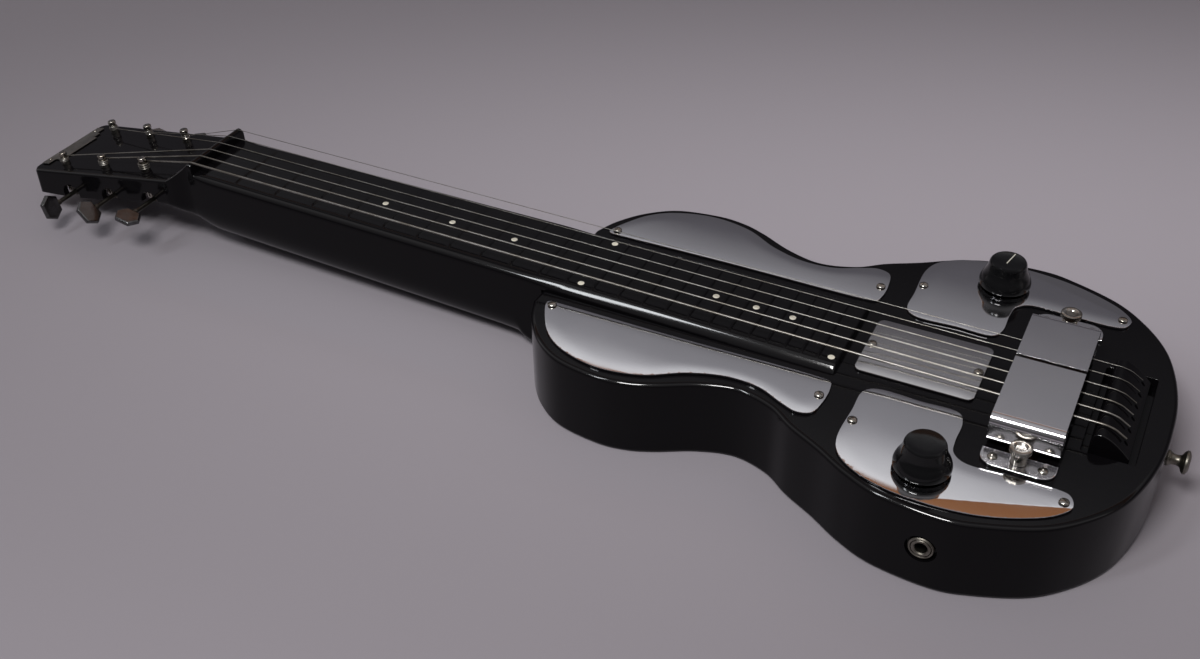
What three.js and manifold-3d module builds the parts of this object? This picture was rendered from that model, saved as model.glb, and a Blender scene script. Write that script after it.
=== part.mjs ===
import * as THREE from 'three';
import { mergeVertices } from 'three/addons/utils/BufferGeometryUtils.js';
import Module from 'manifold-3d';

// Lap steel guitar: moulded black body and neck, chromed cover plates, horseshoe pickup, six strings.
// Millimetres. x runs from the nut toward the tail, -y is the near bass side, z is up from the body's floor.

const wasm = await Module();
wasm.setup();

// Fits shared by all pieces
const SEAT_GAP = 0.3;
const OVERRUN = 3;
const WELD = 0.001;
const INSET_KEPT_SHARE = 0.998;
const SMALL_SIDES = 10;
const ROUND_SIDES = 16;
const FINE_SIDES = 28;

// Body
const BODY_LENGTH = 342;
const BODY_HALF_WIDTH = 112;
const BODY_DEPTH = 48;
const BODY_RIM = 2.5;
const BODY_OUTLINE_SHARES = [
  [0, 0.357], [0.019, 0.491], [0.056, 0.634], [0.107, 0.737], [0.18, 0.777], [0.231, 0.763],
  [0.275, 0.714], [0.333, 0.625], [0.392, 0.58], [0.45, 0.625], [0.494, 0.719], [0.545, 0.804],
  [0.597, 0.902], [0.655, 0.973], [0.743, 1], [0.801, 0.964], [0.874, 0.871], [0.925, 0.737],
  [0.962, 0.58], [0.984, 0.402], [0.997, 0.201], [1, 0],
];
const BODY_CURVE_STEPS = 2;
const SADDLE_SHARE = 0.9225;

// Cavities under the cover plates, and the wire channels between them
const CAVITY_LEDGE = 6;
const UPPER_CAVITY_FLOOR = 18;
const LOWER_CAVITY_FLOOR = 12;
const CENTER_CAVITY_DEPTH = 20;
const CHANNEL_WIDTH = 8;
const CHANNEL_DEPTH = 8;
const CHANNEL_COVER = 10;

// Cover plates, with outlines as shares of the body's length and half width
const PLATE_THICKNESS = 1.5;
const PLATE_BEVEL = 0.5;
const PLATE_CURVE_STEPS = 2;
const UPPER_PLATE_SHARES = [
  [0.026, 0.362], [0.047, 0.5], [0.07, 0.594], [0.105, 0.67], [0.173, 0.723], [0.246, 0.688],
  [0.31, 0.58], [0.368, 0.527], [0.421, 0.536], [0.465, 0.598], [0.491, 0.625], [0.512, 0.603],
  [0.52, 0.509], [0.52, 0.402], [0.515, 0.354], [0.5, 0.344], [0.25, 0.348], [0.045, 0.344],
  [0.03, 0.346],
];
const LOWER_PLATE_SHARES = [
  [0.566, 0.357], [0.5645, 0.5], [0.564, 0.714], [0.575, 0.804], [0.604, 0.879], [0.655, 0.933],
  [0.719, 0.946], [0.787, 0.92], [0.845, 0.855], [0.882, 0.786], [0.9, 0.71], [0.892, 0.645],
  [0.874, 0.629], [0.81, 0.633], [0.743, 0.634], [0.725, 0.589], [0.721, 0.518], [0.72, 0.375],
  [0.71, 0.317], [0.65, 0.312], [0.582, 0.312],
];
const CENTER_PLATE_END_SHARE = 0.721;
const CENTER_PLATE_GAP = 8;
const CENTER_PLATE_HALF_WIDTH = 24;
const CENTER_PLATE_CORNER = 4;
const UPPER_SCREW_SHARES = [[0.039, 0.377], [0.51, 0.473]];
const LOWER_SCREW_SHARES = [[0.573, 0.576], [0.887, 0.7]];
const CENTER_SCREW_INSET = 3;

// Plate screws
const SCREW_HEAD_RADIUS = 2.6;
const SCREW_HEAD_HEIGHT = 1.4;
const SCREW_DOME_SHARES = [0.8, 0.7];
const SCREW_SHANK_RADIUS = 1.3;
const SCREW_LENGTH = 10;

// Fretboard and neck, measured from the top of the nut's foot
const SCALE_LENGTH = 571.5;
const FRET_COUNT = 23;
const FRETS_PER_OCTAVE = 12;
const FRET_HEIGHT = 0.9;
const FRET_WIDTH = 2.2;
const FRET_ROOT = 0.5;
const NECK_HALF_WIDTH_NUT = 26.92;
const NECK_HALF_WIDTH_HEEL = 30.1;
const NECK_EDGE = 1.5;
const NECK_DEPTH_NUT = 47.9;
const NECK_FLOOR_RISE = 1.6;
const BOARD_TAIL = 10.86;
const BOARD_HEIGHT_HEEL = 6.65;
const BOARD_HEIGHT_END = 4.4;
const BELLY_POWER = 2.5;
const BELLY_STEPS = 10;
const NECK_SIDE_SHARES = [
  [0.04, 0.457], [0.235, 0.481], [0.469, 0.506], [0.703, 0.531], [0.871, 0.549], [0.898, 0.564],
  [0.914, 0.58], [0.93, 0.635], [0.945, 0.755], [0.969, 0.83], [1, 0.906],
];

// Nut ridge and the run down to the head, as shares of its reach and height
const NUT_REACH = 20;
const NUT_HEIGHT = 7.6;
const NUT_TOP_SHARES = [
  [-0.9, -0.763], [-0.7, -0.474], [-0.5, -0.066], [-0.3, 0.395], [-0.16, 0.79], [-0.1, 0.947],
  [-0.04, 1], [0.02, 0.947], [0.06, 0.816], [0.08, 0],
];
const NUT_WIDTH_SHARES = [[-1, 1], [-0.7, 0.788], [-0.5, 0.46], [-0.3, 0.135], [-0.1, 0]];

// Head, tilted down behind the nut
const HEAD_LENGTH = 116.5;
const HEAD_DROP = 6.685;
const HEAD_SLOPE_SHARE = 0.173;
const HEAD_HALF_WIDTH_NUT = 32.1;
const HEAD_HALF_WIDTH_TIP = 35.1;
const HEAD_CORNER = 4.5;
const HEAD_CORNER_SHARES = [0, 0.3, 1];
const HEAD_WALL = 4;
const HEAD_TOP_WALL = 9;
const HEAD_UNDERSIDE_SHARES = [
  [1, 0.916, 0.01], [0.964, 0.906, 0.01], [0.846, 0.871, 0.01], [0.675, 0.8, 0.01],
  [0.423, 0.637, 0.01], [0.297, 0.564, 0.01], [0.223, 0.509, 0.084], [0.148, 0.455, 0.209],
  [0.074, 0.447, 0.334], [0, 0.449, 0.459],
];

// Heel tenon and its two screws
const TENON_LENGTH = 70;
const TENON_HALF_WIDTH = 20;
const TENON_FLOOR = 16;
const NECK_SCREW_SHARES = [0.27, 0.77];
const NECK_SCREW_HEAD_RADIUS = 4.5;
const NECK_SCREW_HEAD_HEIGHT = 3;
const NECK_SCREW_SHANK_RADIUS = 2.2;
const NECK_SCREW_BITE = 14;
const NECK_SCREW_SINK = 4;

// Tuners, placed along the head from its nut end
const TUNER_COUNT = 3;
const FIRST_POST = 24.7;
const POST_PITCH = 35.2;
const FIRST_POST_SIDE = 20.8;
const POST_SPREAD = 1.57;
const POST_RADIUS = 2.75;
const POST_WAIST_RADIUS = 2.2;
const POST_HEIGHT = 9.2;
const POST_STRING_HEIGHT = 5;
const POST_COLLAR_RADIUS = 3.6;
const POST_PROFILE_SHARES = [[1, 0.3], [0.8, 0.42], [0.8, 0.66], [1, 0.76], [1, 0.93], [0.8, 1]];
const GEAR_RADIUS = 4.6;
const GEAR_TOOTH = 0.5;
const GEAR_TEETH = 14;
const GEAR_THICKNESS = 4;
const WORM_RADIUS = 2.1;
const WORM_DEPTH = 16.5;
const KEY_SHAFT_RADIUS = 1.5;
const KEY_BUTTON_CENTER = 53.5;
const KEY_BUTTON_WIDTH = 18;
const KEY_BUTTON_LENGTH = 13;
const KEY_BUTTON_THICKNESS = 3.5;
const KEY_BUTTON_BEVEL = 0.8;
const KEY_BUTTON_END_SHARE = 0.56;
const KEY_NOTCH_RADIUS = 7;
const KEY_TURNS_NEAR_DEG = [-20, -57, -85];
const KEY_TURNS_FAR_DEG = [12, -8, 20];
const TUNER_PLATE_THICKNESS = 1.2;
const TUNER_PLATE_END = 9;
const LUG_THICKNESS = 1;
const LUG_HALF_WIDTH = 2.9;
const LUG_GAP = 0.5;

// Blank plate near the head's tip, stepped toward the nut
const NAMEPLATE_THICKNESS = 0.8;
const NAMEPLATE_HALF_WIDTH = 27;
const NAMEPLATE_DEPTH = 12;
const NAMEPLATE_TIP_MARGIN = 1.5;
const NAMEPLATE_STEP_SHARES = [[1, 0.5], [0.74, 0.5], [0.74, 0.75], [0.5, 0.75], [0.5, 1]];

// Strings
const STRING_COUNT = 6;
const HEAVIEST_STRING = 1.4;
const STRING_GAUGE_SHARES = [1, 0.79, 0.61, 0.46, 0.32, 0.27];
const NUT_STRING_PITCH = 9.44;
const BRIDGE_STRING_PITCH = 10.1;
const STRING_SIDES = 6;

// Bridge, with its profile as shares of its length and height
const BRIDGE_LENGTH = 19.5;
const BRIDGE_HALF_WIDTH = 33;
const BRIDGE_HEIGHT = 9.7;
const BRIDGE_CREST = 4.5;
const BRIDGE_POCKET_DEPTH = 6;
const BRIDGE_POCKET_MARGIN = 3.2;
const BRIDGE_TOP_SHARES = [
  [0, 0.5], [0.04, 0.78], [0.11, 0.95], [0.23, 1], [0.36, 0.94], [0.5, 0.8], [0.66, 0.58],
  [0.82, 0.3], [0.93, 0.08], [1, -0.05],
];
const STRING_TAIL = 11;
const STRING_TAIL_DROP = 5;
const STRING_BACK = 5;
const STRING_BACK_DROP = 1.2;

// Pickup, centred on its own group
const PICKUP_SHARE = 0.8121;
const MAGNET_LENGTH = 35.5;
const MAGNET_TOP = 19.6;
const MAGNET_FOOT = 2.6;
const MAGNET_REACH_SHARE = 0.4804;
const FAR_MAGNET_REACH_SHARE = 0.375;
const MAGNET_THICKNESS = 4;
const MAGNET_BEND = 5;
const MAGNET_BEND_STEPS = 4;
const MAGNET_SPLIT = 2.4;
const MAGNET_ARM_END = 32;
const PICKUP_TRAVEL = 2;
const FLANGE_HALF_LENGTH = 14.5;
const FLANGE_HALF_WIDTH = 44;
const FLANGE_THICKNESS = 2.3;
const BOBBIN_DEPTH = 18;
const BOBBIN_BASE_THICKNESS = 2.5;
const BOBBIN_TAB_HALF_LENGTH = 7;
const BOBBIN_TAB_MARGIN = 5;
const WINDING_HALF_LENGTH = 13;
const WINDING_HALF_WIDTH = 39;
const WINDING_CORNER = 6;
const CORE_HALF_LENGTH = 6;
const CORE_HALF_WIDTH = 32;
const CORE_SLOT_HALF_LENGTH = 3.6;
const CORE_SLOT_HALF_WIDTH = 29.6;
const POLE_BAR_HEIGHT = 3.2;
const POLE_RADIUS = 2;
const POLE_TOP = 7.2;

// Pickup ears and thumbscrews
const EAR_SPAN_SHARES = [0.4911, 0.6018];
const EAR_HALF_LENGTH_SHARE = 0.0541;
const EAR_CORNER = 8;
const EAR_THICKNESS = 1.5;
const THUMB_RADIUS = 5.6;
const THUMB_TOP = 11.7;
const THUMB_DISC = 3;
const THUMB_DISH_RADIUS = 3;
const THUMB_DISH_DEPTH = 0.8;
const THUMB_COLLAR_RADIUS = 4.2;
const THUMB_SHAFT_RADIUS = 1.7;
const THUMB_MAGNET_GAP = 0.4;
const THUMB_SHAFT_CLEARANCE = 2.4;

// Knobs, shafts and pots, placed by shares of the body's length and half width
const KNOB_PLACE_SHARES = [0.693, 0.75];
const KNOB_HEIGHT = 16;
const KNOB_FLANGE_RADIUS = 14.4;
const KNOB_LIFT = 0.8;
const KNOB_PROFILE_SHARES = [
  [0.9, 0], [1, 0.1], [0.99, 0.24], [0.93, 0.38], [0.85, 0.52], [0.785, 0.66], [0.745, 0.8],
  [0.715, 0.93], [0.667, 1],
];
const KNOB_HOLLOW_RADIUS = 8.5;
const KNOB_HOLLOW_HEIGHT = 6;
const KNOB_CAP = 3.5;
const SHAFT_RADIUS = 3;
const SHAFT_END_GAP = 0.4;
const POT_RADIUS = 12;
const POT_DEPTH = 10;
const POT_FLOOR = 2;
const BUSHING_RADIUS = 4.5;
const BUSHING_RISE = 2.2;

// Output jack in the near side of the body
const JACK_SHARE = 0.7237;
const JACK_BORE_RADIUS = 3.2;
const JACK_SLEEVE_RADIUS = 5;
const JACK_BARREL_RADIUS = 8;
const JACK_BARREL_LENGTH = 16;
const JACK_BORE_STOP = 3;
const JACK_NUT_RADIUS = 6.5;
const JACK_NUT_THICKNESS = 2.2;
const JACK_RECESS_RADIUS = 8;
const JACK_RECESS_DEPTH = 2.8;

// Tone capacitor on the far cavity's floor
const CAPACITOR_RADIUS = 4.5;
const CAPACITOR_LENGTH = 18;
const CAPACITOR_PLACE_SHARES = [0.62, 0.6];

// End pin in the tail
const PIN_HEIGHT = 29;
const PIN_LENGTH = 11.5;
const PIN_HEAD_RADIUS = 6.25;
const PIN_SCREW_RADIUS = 1.8;
const PIN_SCREW_LENGTH = 14;
const PIN_PROFILE_SHARES = [
  [0.67, 0], [0.67, 0.1], [0.5, 0.24], [0.44, 0.42], [0.52, 0.6], [0.82, 0.7], [1, 0.8],
  [0.98, 0.9], [0.7, 1],
];

function fretPlace(number) {
  return SCALE_LENGTH * (1 - 2 ** (-number / FRETS_PER_OCTAVE));
}

// Sizes worked out from the ones above
const bodyFront = SCALE_LENGTH - SADDLE_SHARE * BODY_LENGTH;
const bodyTail = bodyFront + BODY_LENGTH;
const boardEnd = fretPlace(FRET_COUNT) + BOARD_TAIL;
const plateFoot = BODY_DEPTH + SEAT_GAP;
const plateTop = plateFoot + PLATE_THICKNESS;
const boardSlope = (BOARD_HEIGHT_HEEL - BOARD_HEIGHT_END) / (boardEnd - bodyFront);
const neckTilt = Math.atan(boardSlope);
const headTilt = Math.atan(HEAD_SLOPE_SHARE);
const headReach = NUT_REACH + HEAD_LENGTH * Math.cos(headTilt);
const pickupX = bodyFront + PICKUP_SHARE * BODY_LENGTH;
const pickupPocketDepth = BOBBIN_DEPTH + 2 * PICKUP_TRAVEL;
const magnetReach = MAGNET_REACH_SHARE * BODY_HALF_WIDTH;
const farMagnetReach = FAR_MAGNET_REACH_SHARE * BODY_HALF_WIDTH;
const thumbY = magnetReach + THUMB_MAGNET_GAP + THUMB_RADIUS;
const jackHeight = (LOWER_CAVITY_FLOOR + BODY_DEPTH - POT_DEPTH) / 2;
const wormOffset = GEAR_RADIUS + WORM_RADIUS + SEAT_GAP;
const lugInner = GEAR_RADIUS + LUG_GAP;
const lugOuter = lugInner + LUG_THICKNESS;
const crestX = SCALE_LENGTH - BRIDGE_CREST - SEAT_GAP;
const bridgeFront = crestX - BRIDGE_CREST;
const NEAR = -1;
const FAR = 1;

// Materials
function finish(color, roughness, metalness) {
  return () => new THREE.MeshStandardMaterial({ color, roughness, metalness });
}
const blackPhenolic = finish(0x131315, 0.16, 0);
const chrome = finish(0xd4d4d6, 0.08, 1);
const nickel = finish(0xb9b3a4, 0.28, 1);
const steel = finish(0x9c9c9e, 0.35, 1);
const plateMetal = finish(0xa9ada4, 0.45, 1);
const blackKnob = finish(0x17171a, 0.22, 0);
const brownBoard = finish(0x4a3223, 0.6, 0);
const copperWire = finish(0x8a3d1c, 0.4, 0.6);
const waxedFoil = finish(0xb08b4a, 0.6, 0);

// Geometry helpers
function signedVolume(geometry) {
  const points = geometry.getAttribute('position');
  const order = geometry.index.array;
  const [a, b, c] = [new THREE.Vector3(), new THREE.Vector3(), new THREE.Vector3()];
  let volume = 0;
  for (let i = 0; i < order.length; i += 3) {
    a.fromBufferAttribute(points, order[i]);
    b.fromBufferAttribute(points, order[i + 1]);
    c.fromBufferAttribute(points, order[i + 2]);
    volume += a.dot(b.cross(c));
  }
  return volume;
}

// One closed shell with shared vertices, no collapsed triangles and its faces pointing out
function closedShell(source) {
  const bare = new THREE.BufferGeometry();
  bare.setAttribute('position', source.getAttribute('position'));
  bare.setIndex(source.index);
  const merged = mergeVertices(bare, WELD);
  const order = merged.index.array;
  const kept = [];
  for (let i = 0; i < order.length; i += 3) {
    const [a, b, c] = [order[i], order[i + 1], order[i + 2]];
    if (a !== b && b !== c && c !== a) kept.push(a, b, c);
  }
  merged.setIndex(kept);
  if (signedVolume(merged) < 0) {
    for (let i = 0; i < kept.length; i += 3) [kept[i + 1], kept[i + 2]] = [kept[i + 2], kept[i + 1]];
    merged.setIndex(kept);
  }
  return merged;
}

function toSolid(geometry) {
  const shell = closedShell(geometry);
  const vertProperties = new Float32Array(shell.getAttribute('position').array);
  const triVerts = new Uint32Array(shell.index.array);
  return new wasm.Manifold(new wasm.Mesh({ numProp: 3, vertProperties, triVerts }));
}

function toGeometry(solid) {
  const mesh = solid.getMesh();
  const geometry = new THREE.BufferGeometry();
  geometry.setAttribute('position', new THREE.BufferAttribute(new Float32Array(mesh.vertProperties), 3));
  geometry.setIndex([...mesh.triVerts]);
  return geometry;
}

function join(...pieces) {
  return toGeometry(pieces.map(toSolid).reduce((sum, piece) => sum.add(piece)));
}

function cut(base, ...tools) {
  return toGeometry(tools.map(toSolid).reduce((left, tool) => left.subtract(tool), toSolid(base)));
}

function common(first, second) {
  return toGeometry(toSolid(first).intersect(toSolid(second)));
}

function box(x0, x1, y0, y1, z0, z1) {
  const geometry = new THREE.BoxGeometry(x1 - x0, y1 - y0, z1 - z0);
  return geometry.translate((x0 + x1) / 2, (y0 + y1) / 2, (z0 + z1) / 2);
}

// Turned piece about +z, from radius and height pairs that start and end on the axis
function turned(profile, sides) {
  const points = profile.map(([radius, height]) => new THREE.Vector2(radius, height));
  return new THREE.LatheGeometry(points, sides).rotateX(Math.PI / 2);
}

// Turned ring about +z, from a profile that closes on itself
function turnedRing(profile, sides) {
  return turned([...profile, profile[0]], sides);
}

function pin(radius, z0, z1, sides) {
  return turned([[0, z0], [radius, z0], [radius, z1], [0, z1]], sides);
}

function prism(points, z0, z1) {
  const shape = new THREE.Shape(points);
  const geometry = new THREE.ExtrudeGeometry(shape, { depth: z1 - z0, bevelEnabled: false });
  return geometry.translate(0, 0, z0);
}

function bevelledPrism(points, z0, z1, bevel, bevelSegments) {
  const shape = new THREE.Shape(points);
  const geometry = new THREE.ExtrudeGeometry(shape, {
    depth: z1 - z0 - 2 * bevel,
    bevelThickness: bevel,
    bevelSize: bevel,
    bevelOffset: -bevel,
    bevelSegments,
  });
  return geometry.translate(0, 0, z0 + bevel);
}

// Prism along y, from an outline of x and z pairs
function crossPrism(outline, y0, y1) {
  const points = outline.map(([x, z]) => new THREE.Vector2(x, z));
  return prism(points, -y1, -y0).rotateX(Math.PI / 2);
}

// Prism along x, from an outline of y and z pairs
function lengthPrism(outline, x0, x1) {
  const points = outline.map(([y, z]) => new THREE.Vector2(-z, y));
  return prism(points, x0, x1).rotateY(Math.PI / 2);
}

function roundedRectangle(x0, x1, y0, y1, corner) {
  const shape = new THREE.Shape();
  shape.moveTo(x0 + corner, y0);
  shape.lineTo(x1 - corner, y0);
  shape.absarc(x1 - corner, y0 + corner, corner, -Math.PI / 2, 0);
  shape.absarc(x1 - corner, y1 - corner, corner, 0, Math.PI / 2);
  shape.absarc(x0 + corner, y1 - corner, corner, Math.PI / 2, Math.PI);
  shape.absarc(x0 + corner, y0 + corner, corner, Math.PI, 1.5 * Math.PI);
  return shape.getPoints(3);
}

function mirrored(points) {
  return points.map((p) => new THREE.Vector2(p.x, -p.y)).reverse();
}

function sided(points, side) {
  return side === FAR ? points : mirrored(points);
}

function interpolate(table, x) {
  const last = table.length - 1;
  if (x <= table[0][0]) return table[0][1];
  if (x >= table[last][0]) return table[last][1];
  const next = table.findIndex((row) => row[0] >= x);
  const [x0, y0] = table[next - 1];
  const [x1, y1] = table[next];
  return y0 + ((y1 - y0) * (x - x0)) / (x1 - x0);
}

// Body and plate outlines
function bodyPlace([alongShare, acrossShare], side = FAR) {
  return new THREE.Vector2(bodyFront + alongShare * BODY_LENGTH, side * acrossShare * BODY_HALF_WIDTH);
}

function bodyOutline() {
  const half = BODY_OUTLINE_SHARES.map((share) => bodyPlace(share));
  const whole = [...half, ...mirrored(half).slice(1)].reverse();
  return new THREE.SplineCurve(whole).getPoints((whole.length - 1) * BODY_CURVE_STEPS);
}

function plateOutline(shares) {
  const points = shares.map((share) => bodyPlace(share));
  const curve = new THREE.CatmullRomCurve3(
    points.map((p) => new THREE.Vector3(p.x, p.y, 0)), true, 'centripetal');
  return curve.getPoints(points.length * PLATE_CURVE_STEPS).slice(0, -1)
    .map((p) => new THREE.Vector2(p.x, p.y));
}

function centerPlateSpan() {
  return [boardEnd + CENTER_PLATE_GAP, bodyFront + CENTER_PLATE_END_SHARE * BODY_LENGTH];
}

function centerPlateOutline(inset) {
  const [x0, x1] = centerPlateSpan();
  const y = CENTER_PLATE_HALF_WIDTH - inset;
  return roundedRectangle(x0 + inset, x1 - inset, -y, y, CENTER_PLATE_CORNER);
}

// Outline moved inward, without the points that come nearer to the old edge than the inset
function insetOutline(points, inset) {
  const turn = Math.sign(THREE.ShapeUtils.area(points));
  const at = (i) => points[(i + points.length) % points.length];
  const normal = (from, to) => {
    const along = to.clone().sub(from).normalize();
    return new THREE.Vector2(-turn * along.y, turn * along.x);
  };
  const moved = points.map((p, i) => {
    const [first, second] = [normal(at(i - 1), p), normal(p, at(i + 1))];
    const middle = first.clone().add(second).normalize();
    return p.clone().add(middle.multiplyScalar(inset / middle.dot(first)));
  });
  const nearest = (p) => Math.min(...points.map((a, i) => segmentDistance(p, a, at(i + 1))));
  return moved.filter((p) => nearest(p) > inset * INSET_KEPT_SHARE);
}

function segmentDistance(p, a, b) {
  const along = b.clone().sub(a);
  const share = THREE.MathUtils.clamp(p.clone().sub(a).dot(along) / along.lengthSq(), 0, 1);
  return p.distanceTo(a.clone().add(along.multiplyScalar(share)));
}

// Groups
const guitar = new THREE.Group();
const neckPivot = new THREE.Group();
const neckGroup = new THREE.Group();
const headGroup = new THREE.Group();
const pickupGroup = new THREE.Group();
neckPivot.position.set(boardEnd, 0, BODY_DEPTH);
neckPivot.rotation.y = neckTilt;
neckGroup.position.set(-boardEnd, 0, BOARD_HEIGHT_END);
headGroup.position.set(-NUT_REACH, 0, -HEAD_DROP);
headGroup.rotation.y = -headTilt;
pickupGroup.position.set(pickupX, 0, BODY_DEPTH);
guitar.add(neckPivot, pickupGroup);
neckPivot.add(neckGroup);
neckGroup.add(headGroup);
guitar.updateMatrixWorld(true);

function inNeckFrame(geometry) {
  return geometry.applyMatrix4(neckGroup.matrixWorld.clone().invert());
}

function fromHeadFrame(geometry) {
  return geometry.applyMatrix4(headGroup.matrix);
}

function add(parent, name, geometry, material, place = [0, 0, 0], turn = [0, 0, 0]) {
  const mesh = new THREE.Mesh(closedShell(geometry), material());
  mesh.name = name;
  mesh.position.set(...place);
  mesh.rotation.set(...turn);
  parent.add(mesh);
  return mesh;
}

// Strings: a run of stations from the bridge, over both crests, to the tuner's post
class StationCurve extends THREE.Curve {
  constructor(stations) {
    super();
    this.stations = stations;
  }

  getPoint(t) {
    const spot = t * (this.stations.length - 1);
    const index = Math.min(Math.floor(spot), this.stations.length - 2);
    return this.stations[index].clone().lerp(this.stations[index + 1], spot - index);
  }

  getPointAt(t) {
    return this.getPoint(t);
  }

  getTangentAt(t) {
    const index = Math.round(t * (this.stations.length - 1));
    const before = this.stations[Math.max(index - 1, 0)];
    const after = this.stations[Math.min(index + 1, this.stations.length - 1)];
    return after.clone().sub(before).normalize();
  }
}

function stringRadius(index) {
  return (HEAVIEST_STRING * STRING_GAUGE_SHARES[index]) / 2;
}

function stringTuner(index) {
  const side = index < TUNER_COUNT ? NEAR : FAR;
  const row = side === NEAR ? index : STRING_COUNT - 1 - index;
  return { side, row };
}

function postPlace({ side, row }) {
  return new THREE.Vector3(-FIRST_POST - row * POST_PITCH, side * (FIRST_POST_SIDE + row * POST_SPREAD), 0);
}

function stringStations(index) {
  const radius = stringRadius(index);
  const row = index - (STRING_COUNT - 1) / 2;
  const bridgeY = row * BRIDGE_STRING_PITCH;
  const crest = BODY_DEPTH + BRIDGE_HEIGHT + SEAT_GAP + radius;
  const tuner = stringTuner(index);
  const post = postPlace(tuner);
  const inward = POST_WAIST_RADIUS + SEAT_GAP + radius;
  const end = new THREE.Vector3(post.x, post.y - tuner.side * inward, POST_STRING_HEIGHT);
  const nut = new THREE.Vector3(0, row * NUT_STRING_PITCH, NUT_HEIGHT);
  return [
    new THREE.Vector3(crestX + STRING_TAIL, bridgeY, crest - STRING_TAIL_DROP),
    new THREE.Vector3(crestX + STRING_BACK, bridgeY, crest - STRING_BACK_DROP),
    new THREE.Vector3(crestX, bridgeY, crest),
    neckGroup.localToWorld(nut),
    headGroup.localToWorld(end),
  ];
}

function stringTube(index, radius) {
  const stations = stringStations(index);
  const points = Array.from({ length: STRING_SIDES }, (_, i) => {
    const angle = (2 * Math.PI * i) / STRING_SIDES;
    return new THREE.Vector2(radius * Math.cos(angle), radius * Math.sin(angle));
  });
  return new THREE.ExtrudeGeometry(new THREE.Shape(points), {
    steps: stations.length - 1,
    extrudePath: new StationCurve(stations),
  });
}

// The room that every string keeps in the nut's and the bridge's grooves
function stringRoom(index) {
  return stringTube(index, stringRadius(index) + SEAT_GAP);
}

function stringIndices() {
  return Array.from({ length: STRING_COUNT }, (_, index) => index);
}

// Body shell
function plateCavity(shares, side, floor) {
  const outline = insetOutline(sided(plateOutline(shares), side), CAVITY_LEDGE);
  return prism(outline, floor, BODY_DEPTH + OVERRUN);
}

function screwHole(place, radius) {
  const depth = SCREW_LENGTH + SEAT_GAP;
  return pin(radius + SEAT_GAP, BODY_DEPTH - depth, BODY_DEPTH + OVERRUN, SMALL_SIDES)
    .translate(place.x, place.y, 0);
}

function plateScrewPlaces() {
  const both = [NEAR, FAR];
  const upper = both.flatMap((side) => UPPER_SCREW_SHARES.map((share) => bodyPlace(share, side)));
  const lower = both.flatMap((side) => LOWER_SCREW_SHARES.map((share) => bodyPlace(share, side)));
  const [x0, x1] = centerPlateSpan();
  const center = [x0 + CENTER_SCREW_INSET, x1 - CENTER_SCREW_INSET].map((x) => new THREE.Vector2(x, 0));
  return { upper, lower, center };
}

function neckScrewPlaces() {
  return NECK_SCREW_SHARES.map((share) => bodyFront + share * TENON_LENGTH);
}

function nearWallAt(x) {
  const outline = bodyOutline();
  const near = outline.filter((p) => p.y < 0).sort((p, q) => p.x - q.x);
  return interpolate(near.map((p) => [p.x, p.y]), x);
}

function channels() {
  const top = BODY_DEPTH - CHANNEL_COVER;
  const foot = top - CHANNEL_DEPTH;
  const half = CHANNEL_WIDTH / 2;
  const [x0, x1] = centerPlateSpan();
  const crossX = (x0 + x1) / 2;
  const reach = bodyPlace([0, LOWER_SCREW_SHARES[0][1]]).y;
  const pickupReach = bodyPlace(KNOB_PLACE_SHARES).y;
  return [
    box(crossX - half, crossX + half, -reach, reach, foot, top),
    box(pickupX - half, pickupX + half, -pickupReach, pickupReach, foot, top),
  ];
}

function pickupPocket() {
  const foot = BODY_DEPTH - pickupPocketDepth;
  const top = BODY_DEPTH + OVERRUN;
  const halfX = FLANGE_HALF_LENGTH + 3 * SEAT_GAP;
  const halfY = FLANGE_HALF_WIDTH + 3 * SEAT_GAP;
  const tabX = BOBBIN_TAB_HALF_LENGTH + 3 * SEAT_GAP;
  const tabY = thumbY + BOBBIN_TAB_MARGIN + 3 * SEAT_GAP;
  return [
    box(pickupX - halfX, pickupX + halfX, -halfY, halfY, foot, top),
    box(pickupX - tabX, pickupX + tabX, -tabY, tabY, foot, top),
  ];
}

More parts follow.
